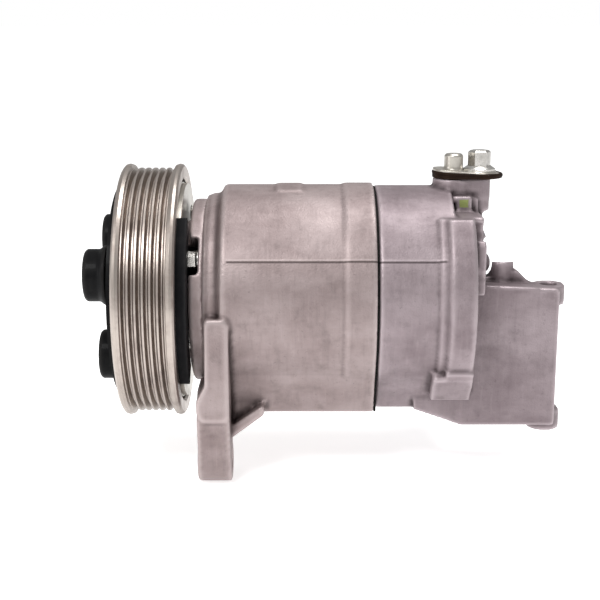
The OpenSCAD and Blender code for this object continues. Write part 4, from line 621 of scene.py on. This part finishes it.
HOUSING_HEAD = (8 * MM, 5.2 * MM, 1.5 * MM)     # across flats, head height, flange height
LINE_HEAD = (10 * MM, 7.7 * MM, 2.4 * MM)
SHANK = {"rear_bolts": 3 * MM, "front_bolts": 3 * MM,
         "suction_line_bolt": 3.95 * MM, "discharge_line_bolt": 3.95 * MM}
bolt_pattern("rear_bolts", 0, 1, *HOUSING_HEAD)
bolt_pattern("front_bolts", 0, -1, *HOUSING_HEAD)
bolt_pattern("suction_line_bolt", 2, 1, *LINE_HEAD)
bolt_pattern("discharge_line_bolt", 1, 1, *LINE_HEAD)

# %% [markdown]
# ## The rubber lip round each shipping cap
# The cap's gasket swells out below its plate in a round lip. The lip follows the cap's outline, so
# a tree turns that outline into a curve and sweeps a small circle along it.

# %% Lip tree
def lip_tree():
    tree, entry, out = new_tree(
        "lip", "GeometryNodeTree",
        [("Geometry", "NodeSocketGeometry", None), ("Radius", "NodeSocketFloat", 0.001),
         ("Sides", "NodeSocketInt", 12), ("Finish", "NodeSocketMaterial", None)],
        [("Geometry", "NodeSocketGeometry")])
    path = add(tree, "GeometryNodeMeshToCurve", {"Mesh": entry.outputs["Geometry"]})
    profile = add(tree, "GeometryNodeCurvePrimitiveCircle",
                  {"Resolution": entry.outputs["Sides"], "Radius": entry.outputs["Radius"]})
    sweep = add(tree, "GeometryNodeCurveToMesh",
                {"Curve": path.outputs[0], "Profile Curve": profile.outputs["Curve"]})
    smooth = add(tree, "GeometryNodeSetShadeSmooth", {"Geometry": sweep.outputs[0]})
    real = add(tree, "GeometryNodeRealizeInstances", {0: smooth.outputs[0]})
    coat = add(tree, "GeometryNodeSetMaterial", {"Geometry": real.outputs[0], "Material": entry.outputs["Finish"]})
    tree.links.new(coat.outputs[0], out.inputs[0])
    return tree


lip_nodes = lip_tree()


def cap_outline(port_x, port_r, bolt_x, bolt_r, steps=28):
    """Two circles joined by their outer tangents, as points in X and Y."""
    turn = math.acos((port_r - bolt_r) / (bolt_x - port_x))

    def arc(middle, radius, start, end):
        return [(middle + radius * math.cos(a), radius * math.sin(a)) for a in np.linspace(start, end, steps)]

    return arc(bolt_x, bolt_r, -turn, turn) + arc(port_x, port_r, turn, 2 * math.pi - turn)


def lip(side, height_axis):
    low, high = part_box(side + "_gasket")
    bolt_r, port_r, radius = 11.9 * MM, 10.8 * MM, 1.15 * MM
    bolt_x, port_x = high[0] - bolt_r, low[0] + port_r
    base = low[height_axis] + radius + 0.1 * MM
    slope = math.tan(math.radians(4.6))
    points = []
    for x, y in cap_outline(port_x, port_r - 0.9 * MM, bolt_x, bolt_r - 0.9 * MM):
        up = base + 0.5 * slope * (high[0] - x)
        points.append((x, y, up) if height_axis == 2 else (x, up, -y))
    edges = [(i, (i + 1) % len(points)) for i in range(len(points))]
    piece = made_by(lip_nodes, side + "_gasket_lip", points, edges, {"Radius": radius, "Sides": 12,
                                                                     "Finish": finishes["brown_rubber"]})
    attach(piece, body_of[side + "_gasket"])
    print(piece.name, len(piece.data.polygons), "faces")


lip("suction", 2)
lip("discharge", 1)

# %% [markdown]
# ## Light and floor
# A plain pale floor under the mounting ear, a bright even surround, and three large soft lamps:
# one above and in front, one from straight above, one from the clutch end.

# %% Studio
floor_mesh = bpy.data.meshes.new("floor")
work = bmesh.new()
bmesh.ops.create_circle(work, cap_ends=True, segments=64, radius=80)
work.to_mesh(floor_mesh)
work.free()
floor = bpy.data.objects.new("floor", floor_mesh)
floor.location = (0.07, 0, cad_low.z - 0.0005)
bpy.context.scene.collection.objects.link(floor)
paper = bpy.data.materials.new("paper")
paper.use_nodes = True
paper.node_tree.nodes["Principled BSDF"].inputs["Base Color"].default_value = (0.92, 0.92, 0.92, 1)
paper.node_tree.nodes["Principled BSDF"].inputs["Roughness"].default_value = 0.9
paper.node_tree.nodes["Principled BSDF"].inputs["Emission Color"].default_value = (1, 1, 1, 1)
paper.node_tree.nodes["Principled BSDF"].inputs["Emission Strength"].default_value = 0.62
floor.data.materials.append(paper)


def lamp(name, place, energy, size):
    data = bpy.data.lights.new(name, "AREA")
    data.energy = energy
    data.size = size
    light = bpy.data.objects.new(name, data)
    light.location = place
    light.rotation_euler = (TARGET - Vector(place)).to_track_quat("-Z", "Y").to_euler()
    bpy.context.scene.collection.objects.link(light)


lamp("key", (-0.25, -0.75, 0.9), 8.0, 0.4)
lamp("top", (0.25, 0.1, 0.95), 6.0, 0.4)
lamp("clutch side", (-0.9, -0.35, 0.25), 2.5, 0.5)
world = bpy.data.worlds.new("surround")
world.use_nodes = True
world.node_tree.nodes["Background"].inputs[0].default_value = (1, 1, 1, 1)
# the surround is seen white, and lights the object at half of that
seen = add(world.node_tree, "ShaderNodeLightPath").outputs["Is Camera Ray"]
fill = maths(world.node_tree, "ADD", maths(world.node_tree, "MULTIPLY", seen, 0.52), 0.48)
world.node_tree.links.new(fill, world.node_tree.nodes["Background"].inputs[1])
bpy.context.scene.world = world
bpy.context.scene.view_settings.view_transform = "Standard"
print("studio ready")
